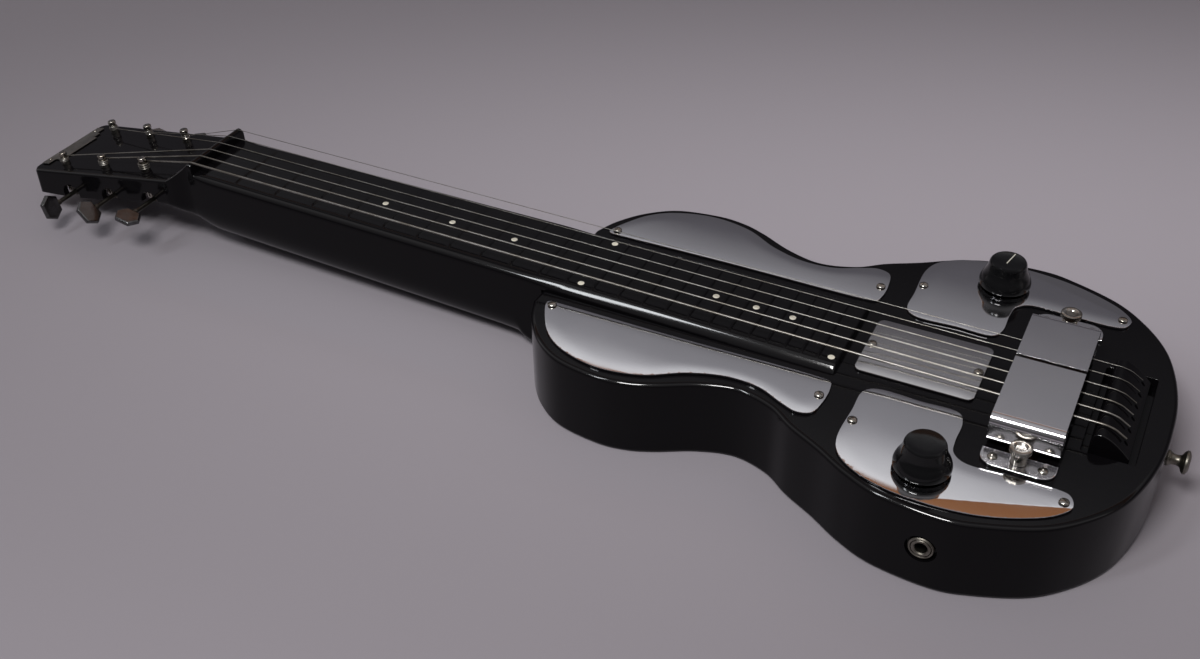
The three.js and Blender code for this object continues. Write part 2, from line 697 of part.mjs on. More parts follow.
function bodyShell() {
  const wallY = nearWallAt(jackPlace().x);
  const tools = [
    ...[NEAR, FAR].map((side) => plateCavity(UPPER_PLATE_SHARES, side, UPPER_CAVITY_FLOOR)),
    ...[NEAR, FAR].map((side) => plateCavity(LOWER_PLATE_SHARES, side, LOWER_CAVITY_FLOOR)),
    prism(centerPlateOutline(CAVITY_LEDGE), BODY_DEPTH - CENTER_CAVITY_DEPTH, BODY_DEPTH + OVERRUN),
    ...channels(),
    ...pickupPocket(),
    ...Object.values(plateScrewPlaces()).flat().map((place) => screwHole(place, SCREW_SHANK_RADIUS)),
    box(bridgeFront - BRIDGE_POCKET_MARGIN, bridgeFront + BRIDGE_LENGTH + BRIDGE_POCKET_MARGIN,
      -BRIDGE_HALF_WIDTH - BRIDGE_POCKET_MARGIN, BRIDGE_HALF_WIDTH + BRIDGE_POCKET_MARGIN,
      BODY_DEPTH - BRIDGE_POCKET_DEPTH, BODY_DEPTH + OVERRUN),
    box(bodyFront - OVERRUN, bodyFront + TENON_LENGTH + SEAT_GAP,
      -TENON_HALF_WIDTH - SEAT_GAP, TENON_HALF_WIDTH + SEAT_GAP, TENON_FLOOR, BODY_DEPTH + OVERRUN),
    ...neckScrewPlaces().map((x) => pin(NECK_SCREW_SHANK_RADIUS + SEAT_GAP, -OVERRUN,
      TENON_FLOOR + OVERRUN, SMALL_SIDES).translate(x, 0, 0)),
    ...neckScrewPlaces().map((x) => pin(NECK_SCREW_HEAD_RADIUS + SEAT_GAP, -OVERRUN,
      NECK_SCREW_SINK, ROUND_SIDES).translate(x, 0, 0)),
    jackAxisPin(JACK_SLEEVE_RADIUS + SEAT_GAP, wallY - OVERRUN, jackCavityY() + OVERRUN),
    jackAxisPin(JACK_RECESS_RADIUS, wallY - OVERRUN, wallY + JACK_RECESS_DEPTH),
    pin(PIN_SCREW_RADIUS + SEAT_GAP, -PIN_SCREW_LENGTH - SEAT_GAP, OVERRUN, SMALL_SIDES)
      .rotateY(Math.PI / 2).translate(bodyTail, 0, PIN_HEIGHT),
  ];
  return cut(bevelledPrism(bodyOutline(), 0, BODY_DEPTH, BODY_RIM, 2), ...tools);
}

// Neck: rings along x carry the board's top, the side walls and the round belly
function neckHalfWidth(x) {
  const boardWidth = (at) => NECK_HALF_WIDTH_NUT
    + ((NECK_HALF_WIDTH_HEEL - NECK_HALF_WIDTH_NUT) * at) / bodyFront;
  if (x > NUT_WIDTH_SHARES.at(-1)[0] * NUT_REACH) return boardWidth(x);
  if (x >= -NUT_REACH) {
    const spread = interpolate(NUT_WIDTH_SHARES, x / NUT_REACH);
    return NECK_HALF_WIDTH_NUT + (HEAD_HALF_WIDTH_NUT - NECK_HALF_WIDTH_NUT) * spread;
  }
  const along = (-x - NUT_REACH) / (headReach - NUT_REACH);
  const width = HEAD_HALF_WIDTH_NUT + (HEAD_HALF_WIDTH_TIP - HEAD_HALF_WIDTH_NUT) * along;
  const intoCorner = Math.max(0, HEAD_CORNER - (headReach + x));
  return width - HEAD_CORNER + Math.sqrt(Math.max(0, HEAD_CORNER ** 2 - intoCorner ** 2));
}

function neckTop(x) {
  if (x <= NUT_TOP_SHARES[0][0] * NUT_REACH) return -HEAD_DROP + HEAD_SLOPE_SHARE * (x + NUT_REACH);
  return NUT_HEIGHT * interpolate(NUT_TOP_SHARES, x / NUT_REACH);
}

function neckUnderside(x) {
  const heelDepth = BODY_DEPTH + BOARD_HEIGHT_HEEL - NECK_FLOOR_RISE;
  if (x > NECK_SIDE_SHARES[0][0] * bodyFront) {
    const depth = NECK_DEPTH_NUT + ((heelDepth - NECK_DEPTH_NUT) * x) / bodyFront;
    const side = depth * interpolate(NECK_SIDE_SHARES, x / bodyFront);
    return { side, belly: depth - side };
  }
  const rows = [...HEAD_UNDERSIDE_SHARES].sort((p, q) => q[0] - p[0]);
  const firstNeck = NECK_SIDE_SHARES[0];
  const sides = rows.map(([along, side]) => [-along * headReach, side * NECK_DEPTH_NUT]);
  const bellies = rows.map(([along, , belly]) => [-along * headReach, belly * NECK_DEPTH_NUT]);
  sides.push([firstNeck[0] * bodyFront, firstNeck[1] * NECK_DEPTH_NUT]);
  bellies.push([firstNeck[0] * bodyFront, (1 - firstNeck[1]) * NECK_DEPTH_NUT]);
  return { side: interpolate(sides, x), belly: interpolate(bellies, x) };
}

function neckRing(x) {
  const half = neckHalfWidth(x);
  const top = neckTop(x);
  const { side, belly } = neckUnderside(x);
  const inner = half - NECK_EDGE;
  const ring = [[-half, top - NECK_EDGE], [-inner, top], [inner, top], [half, top - NECK_EDGE]];
  for (let i = 0; i <= BELLY_STEPS; i += 1) {
    const angle = (Math.PI * i) / BELLY_STEPS;
    const round = (value) => Math.sign(value) * Math.abs(value) ** (2 / BELLY_POWER);
    ring.push([half * round(Math.cos(angle)), -side - belly * round(Math.sin(angle))]);
  }
  return ring.map(([y, z]) => new THREE.Vector3(x, y, z));
}

function neckStations() {
  const corner = HEAD_CORNER_SHARES.map((share) => -headReach + share * HEAD_CORNER);
  const head = HEAD_UNDERSIDE_SHARES.map(([along]) => -along * headReach).slice(1);
  const nut = NUT_TOP_SHARES.map(([along]) => along * NUT_REACH);
  const neck = NECK_SIDE_SHARES.map(([along]) => along * bodyFront);
  neck[neck.length - 1] -= SEAT_GAP;
  return [...new Set([...corner, ...head, -NUT_REACH, ...nut, ...neck])].sort((p, q) => p - q);
}

// Solid through rings of equal length, with a flat fan at both ends
function loft(rings) {
  const count = rings[0].length;
  const points = rings.flat();
  const order = [];
  for (let r = 0; r < rings.length - 1; r += 1) {
    for (let i = 0; i < count; i += 1) {
      const next = (i + 1) % count;
      const [a, b] = [r * count + i, r * count + next];
      order.push(a, b, a + count, b, b + count, a + count);
    }
  }
  const last = (rings.length - 1) * count;
  for (let i = 1; i < count - 1; i += 1) {
    order.push(0, i + 1, i, last, last + i, last + i + 1);
  }
  const geometry = new THREE.BufferGeometry().setFromPoints(points);
  geometry.setIndex(order);
  return geometry;
}

function fret(number) {
  const [x, half] = [fretPlace(number), FRET_WIDTH / 2];
  const outline = [
    [x - half, -FRET_ROOT], [x + half, -FRET_ROOT], [x + half, 0], [x + half / 2, FRET_HEIGHT],
    [x - half / 2, FRET_HEIGHT], [x - half, 0],
  ];
  const reach = neckHalfWidth(x) - NECK_EDGE;
  return crossPrism(outline, -reach, reach);
}

function tongue() {
  const foot = -2 * BOARD_HEIGHT_HEEL;
  const section = (x) => {
    const half = neckHalfWidth(x);
    return [
      [-half, foot], [-half, -NECK_EDGE], [-half + NECK_EDGE, 0], [half - NECK_EDGE, 0],
      [half, -NECK_EDGE], [half, foot],
    ].map(([y, z]) => new THREE.Vector3(x, y, z)).reverse();
  };
  const whole = loft([section(bodyFront - OVERRUN), section(boardEnd)]);
  const below = box(bodyFront - SEAT_GAP, boardEnd + OVERRUN, -BODY_HALF_WIDTH, BODY_HALF_WIDTH,
    -BODY_DEPTH, BODY_DEPTH + SEAT_GAP);
  return cut(whole, inNeckFrame(below));
}

function tenon() {
  const foot = TENON_FLOOR + SEAT_GAP;
  const block = box(bodyFront - OVERRUN, bodyFront + TENON_LENGTH, -TENON_HALF_WIDTH, TENON_HALF_WIDTH,
    foot, BODY_DEPTH + BOARD_HEIGHT_END / 2);
  const holes = neckScrewPlaces().map((x) => pin(NECK_SCREW_SHANK_RADIUS + SEAT_GAP, foot - OVERRUN,
    neckScrewTop() + SEAT_GAP, SMALL_SIDES).translate(x, 0, 0));
  return inNeckFrame(cut(block, ...holes));
}

function headHollow() {
  const nutEnd = -FIRST_POST + wormOffset + LUG_HALF_WIDTH + LUG_GAP;
  const tipEnd = -HEAD_LENGTH + HEAD_WALL;
  const nutHalf = HEAD_HALF_WIDTH_NUT - HEAD_WALL;
  const tipHalf = HEAD_HALF_WIDTH_TIP - HEAD_WALL;
  const points = [[nutEnd, -nutHalf], [nutEnd, nutHalf], [tipEnd, tipHalf], [tipEnd, -tipHalf]]
    .map(([x, y]) => new THREE.Vector2(x, y));
  return prism(points, -NECK_DEPTH_NUT, -HEAD_TOP_WALL);
}

function keyNotch(row) {
  const x = postPlace({ side: FAR, row }).x + wormOffset;
  const half = HEAD_HALF_WIDTH_TIP + OVERRUN;
  return pin(KEY_NOTCH_RADIUS, -half, half, ROUND_SIDES).rotateX(Math.PI / 2).translate(x, 0, -WORM_DEPTH);
}

function tunerSeats() {
  return [NEAR, FAR].flatMap((side) => Array.from({ length: TUNER_COUNT }, (_, row) => ({ side, row })));
}

function postHole(seat) {
  const place = postPlace(seat);
  return pin(POST_RADIUS + SEAT_GAP, -HEAD_TOP_WALL - OVERRUN, OVERRUN, SMALL_SIDES)
    .translate(place.x, place.y, 0);
}

function neck() {
  const frets = Array.from({ length: FRET_COUNT }, (_, i) => fret(i + 1));
  const blank = join(loft(neckStations().map(neckRing)), tongue(), tenon(), ...frets);
  const headTools = [
    headHollow(),
    ...Array.from({ length: TUNER_COUNT }, (_, row) => keyNotch(row)),
    ...tunerSeats().map(postHole),
  ].map(fromHeadFrame);
  const grooves = stringIndices().map((index) => inNeckFrame(stringRoom(index)));
  return cut(blank, ...headTools, ...grooves);
}

// Bridge
function bridge() {
  const foot = BODY_DEPTH - BRIDGE_POCKET_DEPTH + SEAT_GAP;
  const top = BRIDGE_TOP_SHARES.map(([along, height]) => [
    bridgeFront + along * BRIDGE_LENGTH, BODY_DEPTH + height * BRIDGE_HEIGHT]);
  const outline = [...top, [bridgeFront + BRIDGE_LENGTH, foot], [bridgeFront, foot]];
  const block = crossPrism(outline, -BRIDGE_HALF_WIDTH, BRIDGE_HALF_WIDTH);
  return cut(block, ...stringIndices().map(stringRoom));
}

// Cover plates and their screws
function plate(outline, places, bushing = null) {
  const holes = places.map((place) => pin(SCREW_SHANK_RADIUS + SEAT_GAP, plateFoot - OVERRUN,
    plateTop + OVERRUN, SMALL_SIDES).translate(place.x, place.y, 0));
  if (bushing) {
    holes.push(pin(BUSHING_RADIUS + SEAT_GAP, plateFoot - OVERRUN, plateTop + OVERRUN, ROUND_SIDES)
      .translate(bushing.x, bushing.y, 0));
  }
  const blank = bevelledPrism(outline, plateFoot, plateTop, PLATE_BEVEL, 1);
  return cut(blank, ...holes);
}

function plateScrew() {
  const seat = plateTop + SEAT_GAP;
  const tip = BODY_DEPTH - SCREW_LENGTH;
  const [domeAcross, domeUp] = SCREW_DOME_SHARES;
  return turned([
    [0, tip], [SCREW_SHANK_RADIUS, tip + SCREW_SHANK_RADIUS], [SCREW_SHANK_RADIUS, seat],
    [SCREW_HEAD_RADIUS, seat], [domeAcross * SCREW_HEAD_RADIUS, seat + domeUp * SCREW_HEAD_HEIGHT],
    [0, seat + SCREW_HEAD_HEIGHT],
  ], SMALL_SIDES);
}

function neckScrewTop() {
  return TENON_FLOOR + NECK_SCREW_BITE;
}

function neckScrew() {
  const head = NECK_SCREW_SINK - SEAT_GAP;
  const tip = neckScrewTop();
  return turned([
    [0, head - NECK_SCREW_HEAD_HEIGHT], [NECK_SCREW_HEAD_RADIUS, head - NECK_SCREW_HEAD_HEIGHT],
    [NECK_SCREW_HEAD_RADIUS, head], [NECK_SCREW_SHANK_RADIUS, head],
    [NECK_SCREW_SHANK_RADIUS, tip - NECK_SCREW_SHANK_RADIUS], [0, tip],
  ], SMALL_SIDES);
}

// Pickup pieces, in the pickup's own frame with z up from the body's top
function magnet(side) {
  const outer = [];
  const inner = [];
  const bend = (radius, y, z, from) => Array.from({ length: MAGNET_BEND_STEPS + 1 }, (_, i) => {
    const angle = from - (Math.PI / 2) * (i / MAGNET_BEND_STEPS);
    return [y + radius * Math.cos(angle), z + radius * Math.sin(angle)];
  });
  const bendY = (side === NEAR ? magnetReach : farMagnetReach) - MAGNET_BEND;
  const inside = MAGNET_BEND - MAGNET_THICKNESS;
  outer.push([MAGNET_SPLIT / 2, MAGNET_TOP]);
  outer.push(...bend(MAGNET_BEND, bendY, MAGNET_TOP - MAGNET_BEND, Math.PI / 2));
  outer.push(...bend(MAGNET_BEND, bendY, MAGNET_FOOT + MAGNET_BEND, 0));
  outer.push([MAGNET_ARM_END, MAGNET_FOOT]);
  inner.push([MAGNET_SPLIT / 2, MAGNET_TOP - MAGNET_THICKNESS]);
  inner.push(...bend(inside, bendY, MAGNET_TOP - MAGNET_BEND, Math.PI / 2));
  inner.push(...bend(inside, bendY, MAGNET_FOOT + MAGNET_BEND, 0));
  inner.push([MAGNET_ARM_END, MAGNET_FOOT + MAGNET_THICKNESS]);
  const outline = [...outer, ...inner.reverse()].map(([y, z]) => [side * y, z]);
  return lengthPrism(outline, -MAGNET_LENGTH / 2, MAGNET_LENGTH / 2);
}

function bobbin() {
  const baseFoot = -BOBBIN_DEPTH;
  const baseTop = baseFoot + BOBBIN_BASE_THICKNESS;
  const flangeTop = MAGNET_FOOT - SEAT_GAP;
  const flangeFoot = flangeTop - FLANGE_THICKNESS;
  const tabReach = thumbY + BOBBIN_TAB_MARGIN;
  const block = (halfX, halfY, foot, top) => box(-halfX, halfX, -halfY, halfY, foot, top);
  const blank = join(
    block(WINDING_HALF_LENGTH, WINDING_HALF_WIDTH, baseFoot, baseTop),
    block(BOBBIN_TAB_HALF_LENGTH, tabReach, baseFoot, baseTop),
    block(CORE_HALF_LENGTH, CORE_HALF_WIDTH, baseFoot, flangeTop),
    block(FLANGE_HALF_LENGTH, FLANGE_HALF_WIDTH, flangeFoot, flangeTop));
  const slot = block(CORE_SLOT_HALF_LENGTH, CORE_SLOT_HALF_WIDTH, baseTop, flangeTop + OVERRUN);
  const holes = [NEAR, FAR].map((side) => pin(THUMB_SHAFT_RADIUS + SEAT_GAP, baseFoot - OVERRUN,
    baseTop + OVERRUN, SMALL_SIDES).translate(0, side * thumbY, 0));
  return cut(blank, slot, ...holes);
}

function winding() {
  const foot = -BOBBIN_DEPTH + BOBBIN_BASE_THICKNESS + SEAT_GAP;
  const top = MAGNET_FOOT - SEAT_GAP - FLANGE_THICKNESS - SEAT_GAP;
  const outline = roundedRectangle(-WINDING_HALF_LENGTH, WINDING_HALF_LENGTH, -WINDING_HALF_WIDTH,
    WINDING_HALF_WIDTH, WINDING_CORNER);
  const coreX = CORE_HALF_LENGTH + SEAT_GAP;
  const coreY = CORE_HALF_WIDTH + SEAT_GAP;
  return cut(prism(outline, foot, top), box(-coreX, coreX, -coreY, coreY, foot - OVERRUN, top + OVERRUN));
}

function poleBar() {
  const foot = -BOBBIN_DEPTH + BOBBIN_BASE_THICKNESS + SEAT_GAP;
  const halfX = CORE_SLOT_HALF_LENGTH - SEAT_GAP;
  const halfY = CORE_SLOT_HALF_WIDTH - SEAT_GAP;
  const bar = box(-halfX, halfX, -halfY, halfY, foot, foot + POLE_BAR_HEIGHT);
  const studs = stringIndices().map((index) => {
    const y = (index - (STRING_COUNT - 1) / 2) * BRIDGE_STRING_PITCH;
    return pin(POLE_RADIUS, foot + POLE_BAR_HEIGHT / 2, POLE_TOP, SMALL_SIDES).translate(0, y, 0);
  });
  return join(bar, ...studs);
}

function pickupEar(side) {
  const [foot, top] = [SEAT_GAP, SEAT_GAP + EAR_THICKNESS];
  const half = EAR_HALF_LENGTH_SHARE * BODY_LENGTH;
  const [inner, outer] = EAR_SPAN_SHARES.map((share) => share * BODY_HALF_WIDTH);
  const shape = roundedRectangle(-half, half, inner - EAR_CORNER, outer, EAR_CORNER);
  const blank = common(prism(shape, foot, top), box(-half, half, inner, outer, foot, top));
  const hole = pin(THUMB_SHAFT_RADIUS + SEAT_GAP, foot - OVERRUN, top + OVERRUN, SMALL_SIDES)
    .translate(0, thumbY, 0);
  const ear = cut(blank, hole);
  return side === FAR ? ear : ear.rotateZ(Math.PI);
}

function thumbscrew() {
  const seat = SEAT_GAP + EAR_THICKNESS + SEAT_GAP;
  const foot = -pickupPocketDepth + THUMB_SHAFT_CLEARANCE;
  const disc = THUMB_TOP - THUMB_DISC;
  return turned([
    [0, foot], [THUMB_SHAFT_RADIUS, foot + THUMB_SHAFT_RADIUS / 2], [THUMB_SHAFT_RADIUS, seat],
    [THUMB_COLLAR_RADIUS, seat], [THUMB_COLLAR_RADIUS, disc], [THUMB_RADIUS, disc],
    [THUMB_RADIUS, THUMB_TOP], [THUMB_DISH_RADIUS, THUMB_TOP],
    [THUMB_DISH_RADIUS, THUMB_TOP - THUMB_DISH_DEPTH], [0, THUMB_TOP - THUMB_DISH_DEPTH],
  ], ROUND_SIDES);
}

// Controls, each in a frame with z up from the body's top
function potentiometer() {
  const bore = SHAFT_RADIUS + SEAT_GAP;
  const rise = SEAT_GAP + PLATE_THICKNESS + BUSHING_RISE;
  return turned([
    [0, -POT_DEPTH], [POT_RADIUS, -POT_DEPTH], [POT_RADIUS, 0], [BUSHING_RADIUS, 0], [BUSHING_RADIUS, rise],
    [bore, rise], [bore, -POT_DEPTH + POT_FLOOR], [0, -POT_DEPTH + POT_FLOOR],
  ], FINE_SIDES);
}

function knobFoot() {
  return SEAT_GAP + PLATE_THICKNESS + KNOB_LIFT;
}

function controlShaft() {
  const top = knobFoot() + KNOB_HEIGHT - KNOB_CAP - SHAFT_END_GAP;
  return pin(SHAFT_RADIUS, -POT_DEPTH + POT_FLOOR + SEAT_GAP, top, ROUND_SIDES);
}

function knob() {
  const foot = knobFoot();
  const bore = SHAFT_RADIUS + SEAT_GAP;
  const ceiling = foot + KNOB_HEIGHT - KNOB_CAP;
  const outside = KNOB_PROFILE_SHARES.map(([radius, height]) => [
    radius * KNOB_FLANGE_RADIUS, foot + height * KNOB_HEIGHT]);
  return turned([
    [0, ceiling], [bore, ceiling], [bore, foot + KNOB_HOLLOW_HEIGHT],
    [KNOB_HOLLOW_RADIUS, foot + KNOB_HOLLOW_HEIGHT], [KNOB_HOLLOW_RADIUS, foot],
    ...outside, [0, foot + KNOB_HEIGHT],
  ], FINE_SIDES);
}

// Output jack, on an axis along y
function jackPlace() {
  return bodyPlace([JACK_SHARE, 0]);
}

function jackAxisPin(radius, y0, y1) {
  return pin(radius, y0, y1, ROUND_SIDES).rotateX(-Math.PI / 2).translate(jackPlace().x, 0, jackHeight);
}

function jackCavityY() {
  const outline = insetOutline(sided(plateOutline(LOWER_PLATE_SHARES), NEAR), CAVITY_LEDGE);
  const half = JACK_BARREL_RADIUS;
  const knobY = bodyPlace(KNOB_PLACE_SHARES, NEAR).y;
  const near = outline.filter((p) => Math.abs(p.x - jackPlace().x) < 2 * half && p.y < knobY);
  return Math.max(...near.map((p) => p.y));
}

function outputJack() {
  const wall = nearWallAt(jackPlace().x) + SEAT_GAP;
  const barrel = jackCavityY() + SEAT_GAP;
  const end = barrel + JACK_BARREL_LENGTH;
  const geometry = turned([
    [0, end], [JACK_BARREL_RADIUS, end], [JACK_BARREL_RADIUS, barrel], [JACK_SLEEVE_RADIUS, barrel],
    [JACK_SLEEVE_RADIUS, wall], [JACK_BORE_RADIUS, wall], [JACK_BORE_RADIUS, end - JACK_BORE_STOP],
    [0, end - JACK_BORE_STOP],
  ], ROUND_SIDES);
  return geometry.rotateX(-Math.PI / 2).translate(jackPlace().x, 0, jackHeight);
}

function jackNut() {
  const floor = nearWallAt(jackPlace().x) + JACK_RECESS_DEPTH - SEAT_GAP;
  const face = floor - JACK_NUT_THICKNESS;
  const bore = JACK_SLEEVE_RADIUS + SEAT_GAP;
  const geometry = turnedRing([
    [bore, face], [JACK_NUT_RADIUS, face], [JACK_NUT_RADIUS, floor], [bore, floor],
  ], ROUND_SIDES);
  return geometry.rotateX(-Math.PI / 2).translate(jackPlace().x, 0, jackHeight);
}

function capacitor() {
  const place = bodyPlace(CAPACITOR_PLACE_SHARES);
  const height = LOWER_CAVITY_FLOOR + SEAT_GAP + CAPACITOR_RADIUS;
  const half = CAPACITOR_LENGTH / 2;
  return pin(CAPACITOR_RADIUS, -half, half, ROUND_SIDES).rotateX(Math.PI / 2)
    .translate(place.x, place.y, height);
}

// End pin, on an axis along x
function endPin() {
  const foot = SEAT_GAP;
  const outside = PIN_PROFILE_SHARES.map(([radius, along]) => [
    radius * PIN_HEAD_RADIUS, foot + along * (PIN_LENGTH - foot)]);
  const geometry = turned([
    [0, -PIN_SCREW_LENGTH], [PIN_SCREW_RADIUS, -PIN_SCREW_LENGTH + PIN_SCREW_RADIUS],
    [PIN_SCREW_RADIUS, foot], ...outside, [0, PIN_LENGTH],
  ], ROUND_SIDES);
  return geometry.rotateY(Math.PI / 2).translate(bodyTail, 0, PIN_HEIGHT);
}

// Head fittings, in the head's frame with z out of its face
function nameplate() {
  const tip = -HEAD_LENGTH + NAMEPLATE_TIP_MARGIN;
  const half = [[1, 0], ...NAMEPLATE_STEP_SHARES].map(([across, along]) => new THREE.Vector2(
    tip + along * NAMEPLATE_DEPTH, across * NAMEPLATE_HALF_WIDTH));
  return prism([...half, ...mirrored(half)], SEAT_GAP, SEAT_GAP + NAMEPLATE_THICKNESS);
}

function tunerPlate(side) {
  const top = -HEAD_TOP_WALL - SEAT_GAP;
  const foot = top - TUNER_PLATE_THICKNESS;
  const places = Array.from({ length: TUNER_COUNT }, (_, row) => postPlace({ side, row }));
  const [first, last] = [places[0], places.at(-1)];
  const outline = [
    [first.x + wormOffset + LUG_HALF_WIDTH, first.y - lugOuter],
    [first.x + wormOffset + LUG_HALF_WIDTH, first.y + lugOuter],
    [last.x - TUNER_PLATE_END, last.y + lugOuter],
    [last.x - TUNER_PLATE_END, last.y - lugOuter],
  ].map(([x, y]) => new THREE.Vector2(x, y));
  const lugFoot = -WORM_DEPTH - LUG_HALF_WIDTH;
  const lugs = places.flatMap((place) => [-lugOuter, lugInner].map((y) => box(
    place.x + wormOffset - LUG_HALF_WIDTH, place.x + wormOffset + LUG_HALF_WIDTH,
    place.y + y, place.y + y + LUG_THICKNESS, lugFoot, top)));
  const holes = places.map((place) => pin(POST_RADIUS + SEAT_GAP, foot - OVERRUN, top + OVERRUN, SMALL_SIDES)
    .translate(place.x, place.y, 0));
  const bores = places.map((place) => pin(KEY_SHAFT_RADIUS + SEAT_GAP, -2 * lugInner, 2 * lugInner,
    SMALL_SIDES).rotateX(Math.PI / 2).translate(place.x + wormOffset, place.y, -WORM_DEPTH));
  return cut(join(prism(outline, foot, top), ...lugs), ...holes, ...bores);
}

function gear() {
  const points = Array.from({ length: 2 * GEAR_TEETH }, (_, i) => {
    const radius = GEAR_RADIUS - (i % 2) * GEAR_TOOTH;
    const angle = (Math.PI * i) / GEAR_TEETH;
    return new THREE.Vector2(radius * Math.cos(angle), radius * Math.sin(angle));
  });
  return prism(points, -WORM_DEPTH - GEAR_THICKNESS / 2, -WORM_DEPTH + GEAR_THICKNESS / 2);
}

function tunerPost() {
  const shoulder = -HEAD_TOP_WALL - SEAT_GAP - TUNER_PLATE_THICKNESS - SEAT_GAP;
  const outside = POST_PROFILE_SHARES.map(([radius, height]) => [radius * POST_RADIUS, height * POST_HEIGHT]);
  const post = turned([
    [0, -WORM_DEPTH], [POST_COLLAR_RADIUS, -WORM_DEPTH], [POST_COLLAR_RADIUS, shoulder],
    [POST_RADIUS, shoulder], ...outside, [0, POST_HEIGHT],
  ], SMALL_SIDES);
  return join(post, gear());
}

// Key: button, shaft and worm on an axis along +y, with the worm's middle at the origin
function tunerKey(buttonY) {
  const worm = lugInner - SEAT_GAP;
  const buttonFoot = buttonY - KEY_BUTTON_LENGTH / 2;
  const stem = turned([
    [0, -lugOuter], [KEY_SHAFT_RADIUS, -lugOuter], [KEY_SHAFT_RADIUS, -worm],
    [WORM_RADIUS, -worm], [WORM_RADIUS, worm], [KEY_SHAFT_RADIUS, worm],
    [KEY_SHAFT_RADIUS, buttonFoot + KEY_SHAFT_RADIUS], [0, buttonFoot + 2 * KEY_SHAFT_RADIUS],
  ], SMALL_SIDES).rotateX(-Math.PI / 2);
  const [half, end] = [KEY_BUTTON_WIDTH / 2, KEY_BUTTON_LENGTH / 2];
  const shoulder = half * KEY_BUTTON_END_SHARE;
  const points = [
    [half, 0], [shoulder, end], [-shoulder, end], [-half, 0], [-shoulder, -end], [shoulder, -end],
  ].map(([x, y]) => new THREE.Vector2(x, buttonY + y));
  const face = KEY_BUTTON_THICKNESS / 2;
  const button = bevelledPrism(points, -face, face, KEY_BUTTON_BEVEL, 1);
  return join(stem, button);
}

// Assembly
function addPlates() {
  const places = plateScrewPlaces();
  const control = bodyPlace(KNOB_PLACE_SHARES);
  const sides = [[NEAR, 'near'], [FAR, 'far']];
  for (const [side, word] of sides) {
    const onSide = (place) => Math.sign(place.y) === side;
    const bushing = new THREE.Vector2(control.x, side * control.y);
    const upper = plate(sided(plateOutline(UPPER_PLATE_SHARES), side), places.upper.filter(onSide));
    const lower = plate(sided(plateOutline(LOWER_PLATE_SHARES), side), places.lower.filter(onSide), bushing);
    add(guitar, `upper_plate_${word}`, upper, chrome);
    add(guitar, `lower_plate_${word}`, lower, chrome);
  }
  add(guitar, 'center_plate', plate(centerPlateOutline(0), places.center), chrome);
  for (const [group, spots] of Object.entries(places)) {
    spots.forEach((place, i) => add(guitar, `${group}_plate_screw_${i + 1}`, plateScrew(), nickel,
      [place.x, place.y, 0]));
  }
}

function addPickup() {
  add(pickupGroup, 'pickup_bobbin', bobbin(), brownBoard);
  add(pickupGroup, 'pickup_winding', winding(), copperWire);
  add(pickupGroup, 'pole_bar', poleBar(), steel);
  for (const [side, word] of [[NEAR, 'near'], [FAR, 'far']]) {
    add(pickupGroup, `pickup_magnet_${word}`, magnet(side), chrome);
    add(pickupGroup, `pickup_ear_${word}`, pickupEar(side), chrome);
    add(pickupGroup, `thumbscrew_${word}`, thumbscrew(), nickel, [0, side * thumbY, 0]);
  }
}

function addControls() {
  const place = bodyPlace(KNOB_PLACE_SHARES);
  for (const [side, word] of [[NEAR, 'volume'], [FAR, 'tone']]) {
    const spot = [place.x, side * place.y, BODY_DEPTH];
    add(guitar, `${word}_pot`, potentiometer(), steel, spot);
    add(guitar, `${word}_shaft`, controlShaft(), steel, spot);
    add(guitar, `${word}_knob`, knob(), blackKnob, spot);
  }
  add(guitar, 'output_jack', outputJack(), steel);
  add(guitar, 'jack_nut', jackNut(), steel);
  add(guitar, 'tone_capacitor', capacitor(), waxedFoil);
}

function addTuners() {
  add(headGroup, 'tuner_plate_near', tunerPlate(NEAR), nickel);
  add(headGroup, 'tuner_plate_far', tunerPlate(FAR), nickel);
  stringIndices().forEach((index) => {
    const { side, row } = stringTuner(index);
    const place = postPlace({ side, row });
    const turns = side === NEAR ? KEY_TURNS_NEAR_DEG : KEY_TURNS_FAR_DEG;
    const roll = THREE.MathUtils.degToRad(turns[row]);
    const facing = side === FAR ? 0 : Math.PI;
    add(headGroup, `tuner_post_${index + 1}`, tunerPost(), nickel, place.toArray());
    const key = tunerKey(KEY_BUTTON_CENTER - Math.abs(place.y)).rotateY(roll).rotateZ(facing);
    add(headGroup, `tuner_key_${index + 1}`, key, nickel, [place.x + wormOffset, place.y, -WORM_DEPTH]);
  });
}

function addBodyAndNeck() {
  add(guitar, 'body_shell', bodyShell(), blackPhenolic);
  add(neckGroup, 'neck', neck(), blackPhenolic);
  add(guitar, 'bridge', bridge(), blackPhenolic);
  const [front, rear] = neckScrewPlaces();
  add(guitar, 'neck_screw_front', neckScrew(), steel, [front, 0, 0]);
  add(guitar, 'neck_screw_rear', neckScrew(), steel, [rear, 0, 0]);
  add(guitar, 'end_pin', endPin(), nickel);
  add(headGroup, 'nameplate', nameplate(), plateMetal);
}

function addStrings() {
  stringIndices().forEach((index) => {
    add(guitar, `string_${index + 1}`, stringTube(index, stringRadius(index)), steel);
  });
}

addBodyAndNeck();
addPlates();
addPickup();
addControls();
addTuners();
addStrings();

// Stand the part on its floor, with the middle of its footprint at the origin
guitar.updateMatrixWorld(true);
const extent = new THREE.Box3().setFromObject(guitar, true);
guitar.position.set(-(extent.min.x + extent.max.x) / 2, -(extent.min.y + extent.max.y) / 2, -extent.min.z);
guitar.updateMatrixWorld(true);

export default guitar;
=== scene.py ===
import math

import bmesh
import bpy
from mathutils import Euler, Matrix, Vector
from mathutils.kdtree import KDTree


